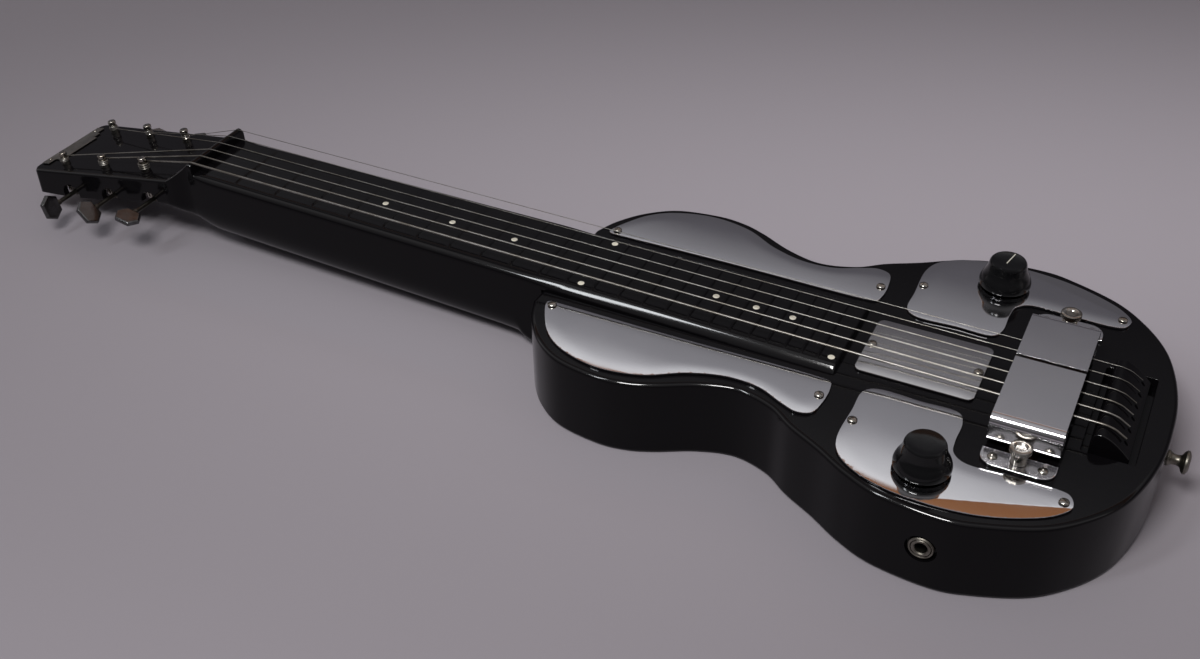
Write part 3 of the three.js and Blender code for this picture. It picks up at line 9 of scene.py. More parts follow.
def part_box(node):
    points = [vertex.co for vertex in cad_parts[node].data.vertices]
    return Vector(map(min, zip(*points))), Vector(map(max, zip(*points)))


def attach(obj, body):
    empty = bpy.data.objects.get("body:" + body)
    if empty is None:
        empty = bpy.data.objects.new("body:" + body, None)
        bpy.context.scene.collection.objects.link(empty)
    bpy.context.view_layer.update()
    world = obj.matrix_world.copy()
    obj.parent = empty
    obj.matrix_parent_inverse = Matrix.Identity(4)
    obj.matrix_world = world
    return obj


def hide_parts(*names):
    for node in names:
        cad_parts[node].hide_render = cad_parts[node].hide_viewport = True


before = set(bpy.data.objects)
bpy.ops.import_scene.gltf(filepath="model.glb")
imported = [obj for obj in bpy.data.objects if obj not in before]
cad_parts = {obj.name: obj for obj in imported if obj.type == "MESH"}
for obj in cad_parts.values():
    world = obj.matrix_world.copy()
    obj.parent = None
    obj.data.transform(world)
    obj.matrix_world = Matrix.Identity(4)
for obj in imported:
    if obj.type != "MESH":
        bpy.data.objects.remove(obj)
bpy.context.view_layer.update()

# Lap steel guitar: black moulded body and neck, chromed plates, horseshoe pickup, six strings.
# Sizes are in millimetres in the frame of the nut's foot, as the maker would draw them.

# Body
BODY_LENGTH = 342
BODY_HALF_WIDTH = 112
BODY_DEPTH = 48
BODY_RIM = 2.5
SADDLE_SHARE = 0.9225
BODY_OUTLINE_SHARES = [
    (0, 0.357), (0.019, 0.491), (0.056, 0.634), (0.107, 0.737), (0.18, 0.777), (0.231, 0.763),
    (0.275, 0.714), (0.333, 0.625), (0.392, 0.58), (0.45, 0.625), (0.494, 0.719), (0.545, 0.804),
    (0.597, 0.902), (0.655, 0.973), (0.743, 1), (0.801, 0.964), (0.874, 0.871), (0.925, 0.737),
    (0.962, 0.58), (0.984, 0.402), (0.997, 0.201), (1, 0),
]

# Cavities under the plates and the wire channels between them
CAVITY_LEDGE = 6
UPPER_CAVITY_FLOOR = 18
LOWER_CAVITY_FLOOR = 12
CENTER_CAVITY_DEPTH = 20
CHANNEL_WIDTH = 8
CHANNEL_DEPTH = 8
CHANNEL_COVER = 10

# Cover plates, with outlines as shares of the body's length and half width
SEAT_GAP = 0.3
PLATE_THICKNESS = 1.5
PLATE_FOOT_EDGE = (0.15, 0.2)
PLATE_RIM_STEPS = [(0.03, 0.14), (0.12, 0.03), (0.26, 0)]
PLATE_BENT_DEPTH = 0.35
UPPER_PLATE_SHARES = [
    (0.026, 0.362), (0.047, 0.5), (0.07, 0.594), (0.105, 0.67), (0.173, 0.723), (0.246, 0.688),
    (0.31, 0.58), (0.368, 0.527), (0.421, 0.536), (0.465, 0.598), (0.491, 0.625), (0.512, 0.603),
    (0.52, 0.509), (0.52, 0.402), (0.515, 0.354), (0.5, 0.344), (0.25, 0.348), (0.045, 0.344),
    (0.03, 0.346),
]
LOWER_PLATE_SHARES = [
    (0.566, 0.357), (0.5645, 0.5), (0.564, 0.714), (0.575, 0.804), (0.604, 0.879), (0.655, 0.933),
    (0.719, 0.946), (0.787, 0.92), (0.845, 0.855), (0.882, 0.786), (0.9, 0.71), (0.892, 0.645),
    (0.874, 0.629), (0.81, 0.633), (0.743, 0.634), (0.725, 0.589), (0.721, 0.518), (0.72, 0.375),
    (0.71, 0.317), (0.65, 0.312), (0.582, 0.312),
]
CENTER_PLATE_END_SHARE = 0.721
CENTER_PLATE_GAP = 8
CENTER_PLATE_HALF_WIDTH = 24
CENTER_PLATE_CORNER = 4
CENTER_SCREW_INSET = 3
UPPER_SCREW_SHARES = [(0.039, 0.377), (0.51, 0.473)]
LOWER_SCREW_SHARES = [(0.573, 0.576), (0.887, 0.7)]
SCREW_HEAD_RADIUS = 2.6
SCREW_HEAD_HEIGHT = 1.4
SCREW_SHANK_RADIUS = 1.3
SCREW_LENGTH = 10
SCREW_DOME_POWER = 0.9
SCREW_SLOT_HALF_WIDTH = 0.35
SCREW_SLOT_REACH_SHARE = 1.2
SCREW_SLOT_FLOOR_SHARE = 0.5
FIRST_SCREW_TURN = 0.7
NEXT_SCREW_TURN = 1.9
GRID_STEP = 2.5
PLATE_SOFT_EDGE = 1.12
CROWN_DEPTH = 0.13
CROWN_REACH = 9
CROWN_POWER = 2.4
RIM_STEP = 0.5
BOW_SLOPE = 0.02
HORN_LINE_SHARES = [(0.72, 0.906), (0.905, 0.706)]
HORN_SLOPE = 0.052
HORN_BEND_RADIUS = 1.2
HORN_CREASE_SHARES = (0, 0.5, 1)

# Neck and fretboard
SCALE_LENGTH = 571.5
FRET_COUNT = 23
FRETS_PER_OCTAVE = 12
FRET_HEIGHT = 0.75
FRET_WIDTH = 2.2
FRET_END_SHARES = [(0.4, 0.3), (0.9, 0.7), (1.5, 0.92), (2.4, 1)]
NECK_HALF_WIDTH_NUT = 26.92
NECK_HALF_WIDTH_HEEL = 30.1
NECK_EDGE_SHARES = [(-0.02, 0.42), (0.06, 1)]
NECK_EDGE = 4.8
NECK_EDGE_POWERS = [(0.93, 2), (1.06, 1.3)]
NECK_DEPTH_NUT = 47.9
NECK_FLOOR_RISE = 1.6
BOARD_TAIL = 10.86
BOARD_HEIGHT_HEEL = 6.65
BOARD_HEIGHT_END = 4.4
BOARD_FACE_SHARES = (0.6, 0.3, 0.1)
BOARD_FACE_DEPTH = 1.6
BELLY_POWER = 2.5
NECK_SIDE_SHARES = [
    (0.04, 0.457), (0.235, 0.481), (0.469, 0.506), (0.703, 0.531), (0.871, 0.549), (0.898, 0.564),
    (0.914, 0.58), (0.93, 0.635), (0.945, 0.755), (0.969, 0.83), (1, 0.906),
]
NUT_REACH = 20
NUT_HEIGHT = 7.6
NUT_TOP_SHARES = [
    (-0.9, -0.763), (-0.7, -0.474), (-0.5, -0.066), (-0.3, 0.395), (-0.16, 0.79), (-0.1, 0.947),
    (-0.04, 1), (0.02, 0.947), (0.06, 0.816), (0.08, 0),
]
NUT_WIDTH_SHARES = [(-1, 1), (-0.7, 0.788), (-0.5, 0.46), (-0.3, 0.135), (-0.1, 0)]
TENON_LENGTH = 70
TENON_HALF_WIDTH = 20
TENON_FLOOR = 16
TENON_EDGE = 0.5
TONGUE_LAP = 0.5
TONGUE_END_RADIUS = 1.5
TONGUE_END_ROOM = 2
TONGUE_FOOT_SHARES = (1, 0.5, -0.5, -1)
NECK_SCREW_SHARES = [0.27, 0.77]
NECK_SCREW_HEAD_RADIUS = 4.5
NECK_SCREW_SHANK_RADIUS = 2.2
NECK_SCREW_SINK = 4

# Head
HEAD_LENGTH = 116.5
HEAD_DROP = 6.685
HEAD_SLOPE_SHARE = 0.173
HEAD_HALF_WIDTH_NUT = 32.1
HEAD_HALF_WIDTH_TIP = 35.1
HEAD_CORNER = 4.5
HEAD_WALL = 4
HEAD_TOP_WALL = 9
HEAD_UNDERSIDE_SHARES = [
    (1, 0.916, 0.01), (0.964, 0.906, 0.01), (0.846, 0.871, 0.01), (0.675, 0.8, 0.01),
    (0.423, 0.637, 0.01), (0.297, 0.564, 0.01), (0.223, 0.509, 0.084), (0.148, 0.455, 0.209),
    (0.074, 0.447, 0.334), (0, 0.449, 0.459),
]

# Dots in the board, as places from the nut and across the board
DOT_RADIUS = 1.9
DOT_DEPTH = 0.4
DOT_PROFILE_SHARES = [(0, -1), (1, -1), (1, 0.075), (0.9, 0.225), (0, 0.35)]
DOT_PLACES = [
    (130.6, 0), (178.7, 0), (221.6, 0), (277.3, -22.1), (277.3, 22.1), (351.1, 0), (375.1, 0),
    (396.5, 0), (426.7, -23.7),
]

# Tuners
TUNER_COUNT = 3
FIRST_POST = 24.7
POST_PITCH = 35.2
FIRST_POST_SIDE = 20.8
POST_SPREAD = 1.57
POST_RADIUS = 2.75
POST_WAIST_RADIUS = 2.2
POST_HEIGHT = 9.2
POST_STRING_HEIGHT = 5
POST_COLLAR_RADIUS = 3.6
POST_PROFILE_SHARES = [(1, 0.3), (0.8, 0.42), (0.8, 0.66), (1, 0.76), (1, 0.93), (0.8, 1)]
GEAR_RADIUS = 4.6
GEAR_TOOTH = 0.5
GEAR_TEETH = 14
GEAR_TOOTH_SHARES = [(0, 0), (0.12, 1), (0.38, 1), (0.5, 0)]
GEAR_THICKNESS = 4
WORM_RADIUS = 2.1
WORM_DEPTH = 16.5
WORM_TURNS = 6
WORM_STEPS = 4
WORM_THREAD_DEPTH = 0.35
KEY_SHAFT_RADIUS = 1.5
KEY_SOCKET_STEPS = [(0, -1.5), (0.5, -1), (0.2, 1.5)]
KEY_STEM_END = 3
KEY_BUTTON_CENTER = 53.5
KEY_BUTTON_WIDTH = 18
KEY_BUTTON_LENGTH = 13
KEY_BUTTON_THICKNESS = 3.5
KEY_BUTTON_BEVEL = 0.8
KEY_BUTTON_EDGE = 0.3
KEY_BUTTON_SHARP_DEG = 25
KEY_BUTTON_END_SHARE = 0.56
KEY_NOTCH_RADIUS = 7
KEY_TURNS_NEAR_DEG = [-20, -57, -85]
KEY_TURNS_FAR_DEG = [12, -8, 20]
TUNER_PLATE_THICKNESS = 1.2
LUG_THICKNESS = 1
LUG_HALF_WIDTH = 2.9
LUG_GAP = 0.5
NAMEPLATE_THICKNESS = 0.8
NAMEPLATE_EDGE = 0.25
NAMEPLATE_HALF_WIDTH = 27
NAMEPLATE_DEPTH = 12
NAMEPLATE_TIP_MARGIN = 1.5
NAMEPLATE_PIN_RADIUS = 1.2
NAMEPLATE_PIN_INSET = 2.6
NAMEPLATE_PIN_SIDE = 21.6
NAMEPLATE_PIN_HEIGHT = 0.7
NAMEPLATE_PIN_SINK = 0.3
NAMEPLATE_STEP_SHARES = [(1, 0.5), (0.74, 0.5), (0.74, 0.75), (0.5, 0.75), (0.5, 1)]

# Strings and bridge
STRING_COUNT = 6
HEAVIEST_STRING = 1.4
STRING_GAUGE_SHARES = [1, 0.79, 0.61, 0.46, 0.32, 0.27]
NUT_STRING_PITCH = 9.44
BRIDGE_STRING_PITCH = 10.1
BRIDGE_LENGTH = 19.5
BRIDGE_HALF_WIDTH = 33
BRIDGE_HEIGHT = 9.7
BRIDGE_CREST = 4.5
BRIDGE_EDGE = 0.8
STRING_HOLE_RADIUS = 1.1
STRING_HOLE_OFFSET = 0.4
STRING_HOLE_FLOOR = 2
BRIDGE_POCKET_DEPTH = 6
BRIDGE_POCKET_MARGIN = 3.2
BRIDGE_POCKET_CORNER = 1.5
POCKET_FLARE = 0.6
BRIDGE_TOP_SHARES = [
    (0, 0.5), (0.04, 0.78), (0.11, 0.95), (0.23, 1), (0.36, 0.94), (0.5, 0.8), (0.66, 0.58),
    (0.82, 0.3), (0.93, 0.08), (1, -0.05),
]
STRING_TAIL = 11
STRING_TAIL_DROP = 5
STRING_BACK = 5
STRING_BACK_DROP = 1.2
STRING_BEND_REACH = 1.6
HEAVY_WRAP_TURNS = 3
LIGHT_WRAP_TURNS = 4
WRAP_PITCH_SHARE = 1.04
WRAP_SWELL = 0.25
WRAP_CLEARANCE = 0.1

# Pickup, in its own frame
PICKUP_SHARE = 0.8121
MAGNET_LENGTH = 35.5
MAGNET_TOP = 19.6
MAGNET_FOOT = 2.6
MAGNET_REACH_SHARE = 0.4804
FAR_MAGNET_REACH_SHARE = 0.375
MAGNET_THICKNESS = 4
MAGNET_BEND = 5
MAGNET_SPLIT = 2.4
MAGNET_ARM_END = 32
MAGNET_EDGE = 0.06
MAGNET_SHARP_DEG = 50
PICKUP_TRAVEL = 2
FLANGE_HALF_LENGTH = 14.5
FLANGE_HALF_WIDTH = 44
BOBBIN_DEPTH = 18
BOBBIN_TAB_HALF_LENGTH = 7
BOBBIN_TAB_MARGIN = 5
EAR_SPAN_SHARES = (0.4911, 0.6018)
EAR_HALF_LENGTH_SHARE = 0.0541
EAR_CORNER = 8
EAR_THICKNESS = 1.5
EAR_EDGE = 0.45
EAR_FOOT_EDGE = 0.15
EAR_SCREW_SPREAD = 12.2
EAR_SCREW_SIDE = 61.2
FIRST_EAR_SCREW_TURN = 0.4
NEXT_EAR_SCREW_TURN = 1.1
THUMB_RADIUS = 5.6
THUMB_TOP = 11.7
THUMB_DISC = 3
THUMB_RIM = 0.5
THUMB_RIM_SHARES = (0.3, 0.4)
THUMB_FOOT_RIM = 0.4
THUMB_TEETH = 36
THUMB_TOOTH_DEPTH = 0.16
THUMB_DISH_RADIUS = 3
THUMB_DISH_DEPTH = 0.8
THUMB_DISH_LIP = 0.3
THUMB_COLLAR_RADIUS = 4.2
THUMB_COLLAR_BEVEL = 0.3
THUMB_WAIST_DEPTH = 0.5
THUMB_WAIST_HEIGHT = 1.2
THUMB_SHAFT_RADIUS = 1.7
THUMB_MAGNET_GAP = 0.4
THUMB_SHAFT_CLEARANCE = 2.4

# Controls
KNOB_PLACE_SHARES = (0.693, 0.75)
KNOB_HEIGHT = 16
KNOB_FLANGE_RADIUS = 14.4
KNOB_LIFT = 0.8
KNOB_PROFILE_SHARES = [
    (0.9, 0), (1, 0.1), (0.99, 0.24), (0.93, 0.38), (0.85, 0.52), (0.785, 0.66), (0.745, 0.8),
    (0.715, 0.93), (0.667, 1),
]
KNOB_HOLLOW_RADIUS = 8.5
KNOB_HOLLOW_HEIGHT = 6
KNOB_CAP = 3.5
KNOB_DISH_DEPTH = 0.5
KNOB_DISH_SHARES = [(0.93, 0.04), (0.8, 0.56), (0.5, 0.84), (0, 0.96)]
POINTER_TURN_DEG = 12
POINTER_HALF_WIDTH = 0.3
POINTER_TAIL = 2.5
POINTER_REACH = 8.6
POINTER_DEPTH = 0.7
POINTER_SINK = 0.02
POINTER_EDGE = 0.1
SHAFT_RADIUS = 3
BUSHING_RADIUS = 4.5
POT_DEPTH = 10
JACK_SHARE = 0.7237
JACK_BORE_RADIUS = 3.2
JACK_SLEEVE_RADIUS = 5
JACK_BARREL_RADIUS = 8
JACK_NUT_RADIUS = 6.5
JACK_NUT_THICKNESS = 2.2
JACK_RECESS_RADIUS = 8
JACK_RECESS_DEPTH = 2.8
JACK_BORE_STOP = 3
JACK_SLEEVE_EDGE = 0.3
JACK_BORE_LIP = 0.5
JACK_NUT_EDGE = 0.5
JACK_NUT_BORE_EDGE = (0.3, 0.25)

# End pin
PIN_HEIGHT = 29
PIN_LENGTH = 11.5
PIN_HEAD_RADIUS = 6.25
PIN_SCREW_RADIUS = 1.8
PIN_SCREW_LENGTH = 14
PIN_PROFILE_SHARES = [
    (0.67, 0), (0.67, 0.1), (0.5, 0.24), (0.44, 0.42), (0.52, 0.6), (0.82, 0.7), (1, 0.8),
    (0.98, 0.9), (0.7, 1),
]

# How finely the meshes follow their curves
OUTLINE_STEPS = 10
CAVITY_STEPS = 3
PROFILE_STEPS = 5
KNOB_STEPS = 6
CORNER_STEPS = 8
ROUNDING_STEPS = 5
EAR_CORNER_STEPS = 10
MAGNET_BEND_STEPS = 12
STRING_BEND_STEPS = 6
WRAP_STEPS = 20
SCREW_DOME_STEPS = 8
PIN_DOME_STEPS = 6
NECK_BELLY_STEPS = 32
TURN_SIDES = 72
SMALL_TURN_SIDES = 40
SCREW_HOLE_SIDES = 16
STRING_HOLE_SIDES = 24
GROOVE_SIDES = 12
STRING_SIDES = 14
WRAP_SIDES = 10
SIDES_PER_TOOTH = 6
EDGE_SEGMENTS = 3
SHARP_DEG = 35
FACE_WEIGHT = 100
MITRE_LIMIT = 0.5
INSET_SHARE = 0.995
OVERRUN = 3
FINE_OVERRUN = 1

# Stations along the neck at which its section is drawn
HEAD_TIP_STEPS = 8
HEAD_STATION_STEP = 5
HEAD_STATION_COUNT = 20
NUT_STATION_STEP = 0.5
NUT_STATION_COUNT = 37
NUT_FOOT_START = -1.6
NUT_FOOT_STEP = 0.15
NUT_FOOT_COUNT = 22
FRET_STATION_SHARES = (-1.02, -0.8, -0.55, -0.3, 0, 0.3, 0.55, 0.8, 1.02)
BOARD_STATION_START = 8
BOARD_STATION_STEP = 6
BOARD_STATION_COUNT = 80
HEEL_START_SHARE = 0.86
HEEL_STATION_COUNT = 24
LEAST_STATION_GAP = 0.05
STATION_DIGITS = 3

NEAR = -1
FAR = 1

# Sizes worked out from the ones above
body_front = SCALE_LENGTH - SADDLE_SHARE * BODY_LENGTH
body_tail = body_front + BODY_LENGTH


def fret_place(number):
    return SCALE_LENGTH * (1 - 2 ** (-number / FRETS_PER_OCTAVE))


board_end = fret_place(FRET_COUNT) + BOARD_TAIL
center_plate_front = board_end + CENTER_PLATE_GAP
center_plate_back = body_front + CENTER_PLATE_END_SHARE * BODY_LENGTH
plate_foot = BODY_DEPTH + SEAT_GAP
plate_top = plate_foot + PLATE_THICKNESS
neck_tilt = math.atan((BOARD_HEIGHT_HEEL - BOARD_HEIGHT_END) / (board_end - body_front))
head_tilt = math.atan(HEAD_SLOPE_SHARE)
head_reach = NUT_REACH + HEAD_LENGTH * math.cos(head_tilt)
pickup_x = body_front + PICKUP_SHARE * BODY_LENGTH
pickup_pocket_depth = BOBBIN_DEPTH + 2 * PICKUP_TRAVEL
pickup_pocket_room = 3 * SEAT_GAP
magnet_reach = MAGNET_REACH_SHARE * BODY_HALF_WIDTH
far_magnet_reach = FAR_MAGNET_REACH_SHARE * BODY_HALF_WIDTH
thumb_y = magnet_reach + THUMB_MAGNET_GAP + THUMB_RADIUS
worm_offset = GEAR_RADIUS + WORM_RADIUS + SEAT_GAP
lug_inner = GEAR_RADIUS + LUG_GAP
lug_outer = lug_inner + LUG_THICKNESS
crest_x = SCALE_LENGTH - BRIDGE_CREST - SEAT_GAP
bridge_front = crest_x - BRIDGE_CREST
jack_height = (LOWER_CAVITY_FLOOR + BODY_DEPTH - POT_DEPTH) / 2
knob_top = SEAT_GAP + PLATE_THICKNESS + KNOB_LIFT + KNOB_HEIGHT

# Frames: millimetres of each assembly to metres of the part
MM = 0.001
nut_foot_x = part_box("body_shell")[0].x / MM - body_front
BODY = Matrix.Scale(MM, 4) @ Matrix.Translation((nut_foot_x, 0, 0))
NECK_IN_BODY = (
    Matrix.Translation((board_end, 0, BODY_DEPTH))
    @ Matrix.Rotation(neck_tilt, 4, "Y")
    @ Matrix.Translation((-board_end, 0, BOARD_HEIGHT_END))
)
HEAD_IN_NECK = Matrix.Translation((-NUT_REACH, 0, -HEAD_DROP)) @ Matrix.Rotation(-head_tilt, 4, "Y")
NECK = BODY @ NECK_IN_BODY
HEAD = NECK @ HEAD_IN_NECK
PICKUP = BODY @ Matrix.Translation((pickup_x, 0, BODY_DEPTH))


# Curves and tables
def spline(points, steps):
    """Smooth open curve through the points, at even steps."""
    last = len(points) - 1
    curve = []
    for i in range(last * steps + 1):
        k = min(i // steps, last - 1)
        t = i / steps - k
        p0, p1 = points[max(k - 1, 0)], points[k]
        p2, p3 = points[k + 1], points[min(k + 2, last)]
        curve.append(tuple(uniform_blend(*values, t) for values in zip(p0, p1, p2, p3)))
    return curve


def uniform_blend(a, b, c, d, t):
    v0, v1 = (c - a) / 2, (d - b) / 2
    return (2 * b - 2 * c + v0 + v1) * t**3 + (3 * c - 3 * b - 2 * v0 - v1) * t**2 + v0 * t + b


def closed_curve(points, steps):
    """Smooth closed curve that keeps tight corners tight."""
    count = len(points)
    curve = []
    for k in range(count):
        p0, p1, p2, p3 = (Vector(points[(k + j - 1) % count]) for j in range(4))
        d0, d1, d2 = ((b - a).length ** 0.5 for a, b in ((p0, p1), (p1, p2), (p2, p3)))
        t1 = ((p1 - p0) / d0 - (p2 - p0) / (d0 + d1) + (p2 - p1) / d1) * d1
        t2 = ((p2 - p1) / d1 - (p3 - p1) / (d1 + d2) + (p3 - p2) / d2) * d1
        for i in range(steps):
            t = i / steps
            bend = (2 * p1 - 2 * p2 + t1 + t2) * t**3 + (3 * p2 - 3 * p1 - 2 * t1 - t2) * t**2
            curve.append(tuple(bend + t1 * t + p1))
    return curve


def ease(table, x):
    """Value of a table of rising x, along a smooth curve that never overshoots."""
    last = len(table) - 1
    if x <= table[0][0]:
        return table[0][1]
    if x >= table[last][0]:
        return table[last][1]
    k = next(i for i in range(last) if table[i + 1][0] >= x)
    (x0, y0), (x1, y1) = table[k], table[k + 1]
    width = x1 - x0
    t = (x - x0) / width
    s0, s1 = table_slope(table, k), table_slope(table, k + 1)
    rise = (2 * t**3 - 3 * t**2 + 1) * y0 + (3 * t**2 - 2 * t**3) * y1
    return rise + ((t**3 - 2 * t**2 + t) * s0 + (t**3 - t**2) * s1) * width


def table_slope(table, k):
    if k == 0 or k == len(table) - 1:
        return 0
    before = (table[k][1] - table[k - 1][1]) / (table[k][0] - table[k - 1][0])
    after = (table[k + 1][1] - table[k][1]) / (table[k + 1][0] - table[k][0])
    return 0 if before * after <= 0 else 2 * before * after / (before + after)


def signed_area(points):
    return sum(a[0] * b[1] - b[0] * a[1] for a, b in zip(points, points[1:] + points[:1])) / 2


def inset(points, distance):
    """Closed outline moved inward, each point along its own corner."""
    turn = math.copysign(1, signed_area(points))
    count = len(points)
    moved = []
    for i, point in enumerate(points):
        before, after = points[i - 1], points[(i + 1) % count]
        first, second = side_normal(before, point, turn), side_normal(point, after, turn)
        middle = (first + second).normalized()
        reach = distance / max(middle.dot(first), MITRE_LIMIT)
        moved.append((point[0] + middle.x * reach, point[1] + middle.y * reach))
    return moved


def side_normal(start, end, turn):
    along = (Vector(end[:2]) - Vector(start[:2])).normalized()
    return Vector((-turn * along.y, turn * along.x))


def deep_inset(points, distance):
    """Inset that leaves out the points which would come nearer to the old edge than the distance."""
    moved = inset(points, distance)
    edges = list(zip(points, points[1:] + points[:1]))
    least = distance * INSET_SHARE
    return [p for p in moved if min(edge_distance(p, *edge) for edge in edges) > least]


def edge_distance(point, start, end):
    along = Vector(end[:2]) - Vector(start[:2])
    toward = Vector(point) - Vector(start[:2])
    share = min(max(toward.dot(along) / along.length_squared, 0), 1)
    return (toward - along * share).length


def rounded_rectangle(x0, x1, y0, y1, corner):
    centers = [(x1 - corner, y0 + corner, -90), (x1 - corner, y1 - corner, 0),
               (x0 + corner, y1 - corner, 90), (x0 + corner, y0 + corner, 180)]
    return [
        (cx + corner * math.cos(angle), cy + corner * math.sin(angle))
        for cx, cy, start in centers
        for angle in (math.radians(start + 90 * i / CORNER_STEPS) for i in range(CORNER_STEPS + 1))
    ]


def mirrored(points):
    return [(x, -y) for x, y in reversed(points)]


def sided(points, side):
    return points if side == FAR else mirrored(points)


# Mesh data: a list of points and a list of faces
def loft(rings, capped=True):
    count = len(rings[0])
    points = [point for ring in rings for point in ring]
    faces = []
    for r in range(len(rings) - 1):
        for i in range(count):
            j = (i + 1) % count
            faces.append((r * count + i, r * count + j, (r + 1) * count + j, (r + 1) * count + i))
    if capped:
        last = (len(rings) - 1) * count
        faces.append(tuple(reversed(range(count))))
        faces.append(tuple(range(last, last + count)))
    return points, faces


def slab(outline, foot, top, edge=0, foot_edge=0):
    """Upright prism with rounded upper and lower edges."""
    levels = []
    if foot_edge:
        levels += [(foot_edge * (1 - s), foot + foot_edge * (1 - c)) for s, c in quarter_turns()]
    else:
        levels.append((0, foot))
    if edge:
        levels += [(edge * (1 - c), top - edge * (1 - s)) for s, c in quarter_turns()]
    else:
        levels.append((0, top))
    return stepped(outline, levels)


def stepped(outline, levels):
    """Upright solid through its levels, each an inset and a height."""
    if signed_area(outline) < 0:
        outline = outline[::-1]
    return loft([[(x, y, z) for x, y in (inset(outline, d) if d else outline)] for d, z in levels])


def quarter_angles(steps):
    return [math.pi / 2 * i / steps for i in range(steps + 1)]


def quarter_turns():
    return [(math.sin(a), math.cos(a)) for a in quarter_angles(ROUNDING_STEPS)]


def lathe(profile, sides=TURN_SIDES, rim=None):
    """Turned solid about z, from radius and height pairs that start and end on the axis."""
    rim = rim or (lambda radius, angle: radius)
    points = []
    rows = []
    for radius, height in profile:
        if radius <= 0:
            rows.append([len(points)])
            points.append((0, 0, height))
            continue
        rows.append(list(range(len(points), len(points) + sides)))
        for i in range(sides):
            angle = 2 * math.pi * i / sides
            reach = rim(radius, angle)
            points.append((reach * math.cos(angle), reach * math.sin(angle), height))
    faces = []
    for low, high in zip(rows, rows[1:]):
        for i in range(sides):
            j = (i + 1) % sides
            if len(low) == 1 and len(high) == 1:
                continue
            if len(low) == 1:
                faces.append((low[0], high[j], high[i]))
            elif len(high) == 1:
                faces.append((low[i], low[j], high[0]))
            else:
                faces.append((low[i], low[j], high[j], high[i]))
    return points, faces


def ring_lathe(profile, sides=TURN_SIDES):
    """Turned ring, from a profile that closes on itself."""
    angles = [2 * math.pi * i / sides for i in range(sides)]
    rings = [[(r * math.cos(a), r * math.sin(a), z) for r, z in profile] for a in angles]
    points, faces = loft(rings + rings[:1], capped=False)
    count = len(profile)
    total = sides * count
    return points[:total], [tuple(i % total for i in face) for face in faces]


def turned_profile(shares, radius, foot, height, steps):
    """Smooth outside of a turned piece, kept within its radius and its two ends."""
    curve = spline([(r * radius, foot + h * height) for r, h in shares], steps)
    return [(min(r, radius), min(max(z, foot), foot + height)) for r, z in curve]


def rod(radius, z0, z1, sides=SMALL_TURN_SIDES):
    return lathe([(0, z0), (radius, z0), (radius, z1), (0, z1)], sides)


def block(x0, x1, y0, y1, z0, z1):
    return slab([(x0, y0), (x1, y0), (x1, y1), (x0, y1)], z0, z1)


def moved(data, matrix):
    points, faces = data
    return [tuple(matrix @ Vector(p)) for p in points], faces


def shifted(data, x, y, z=0):
    return moved(data, Matrix.Translation((x, y, z)))


def merged(*parts):
    points, faces = [], []
    for part_points, part_faces in parts:
        start = len(points)
        points += part_points
        faces += [tuple(i + start for i in face) for face in part_faces]
    return points, faces


TO_Y = Matrix.Rotation(-math.pi / 2, 4, "X")
TO_X = Matrix.Rotation(math.pi / 2, 4, "Y")


def tube(path, radius, sides):
    """Round wire along a path of points, closed at both ends."""
    path = [Vector(p) for p in path]
    rings = []
    across = None
    for i, point in enumerate(path):
        along = (path[min(i + 1, len(path) - 1)] - path[max(i - 1, 0)]).normalized()
        if across is None:
            across = along.orthogonal().normalized()
        across = (across - along * across.dot(along)).normalized()
        upward = along.cross(across)
        rings.append([
            tuple(point + radius * (math.cos(a) * across + math.sin(a) * upward))
            for a in (2 * math.pi * k / sides for k in range(sides))
        ])
    return loft(rings)


# Objects
def raw_object(name, data, matrix):
    mesh = bpy.data.meshes.new(name)
    points, faces = data
    mesh.from_pydata([tuple(matrix @ Vector(p)) for p in points], [], faces)
    mesh.validate()
    outward(mesh)
    obj = bpy.data.objects.new(name, mesh)
    bpy.context.scene.collection.objects.link(obj)
    return obj


def outward(mesh):
    work = bmesh.new()
    work.from_mesh(mesh)
    bmesh.ops.recalc_face_normals(work, faces=work.faces)
    work.to_mesh(mesh)
    work.free()


def carve(obj, tools, matrix):
    """Cut each tool out of the object, one after another."""
    for tool in tools:
        cutter = raw_object("cutter", tool, matrix)
        change = obj.modifiers.new("cut", "BOOLEAN")
        change.operation = "DIFFERENCE"
        change.solver = "EXACT"
        change.object = cutter
        bpy.context.view_layer.update()
        done = obj.evaluated_get(bpy.context.evaluated_depsgraph_get())
        carved = bpy.data.meshes.new_from_object(done)
        obj.modifiers.clear()
        obj.data = carved
        bpy.data.objects.remove(cutter)


def piece(name, data, matrix, material, body, nodes=(), tools=(), bevel=0, sharp=SHARP_DEG):
    """A finished piece: cut, softened, shaded, and riding on its body."""
    obj = raw_object(name, data, matrix)
    if tools:
        carve(obj, tools, matrix)
    obj.data.materials.clear()
    obj.data.materials.append(material)
    for polygon in obj.data.polygons:
        polygon.use_smooth = True
        polygon.material_index = 0
    if bevel:
        soften = obj.modifiers.new("edge", "BEVEL")
        soften.width = bevel * MM
        soften.segments = EDGE_SEGMENTS
        soften.limit_method = "ANGLE"
        soften.angle_limit = math.radians(sharp)
        soften.use_clamp_overlap = True
    obj.data.set_sharp_from_angle(angle=math.radians(sharp))
    shade = obj.modifiers.new("shade", "WEIGHTED_NORMAL")
    shade.keep_sharp = True
    shade.weight = FACE_WEIGHT
    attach(obj, body)
    if nodes:
        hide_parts(*nodes)
    return obj


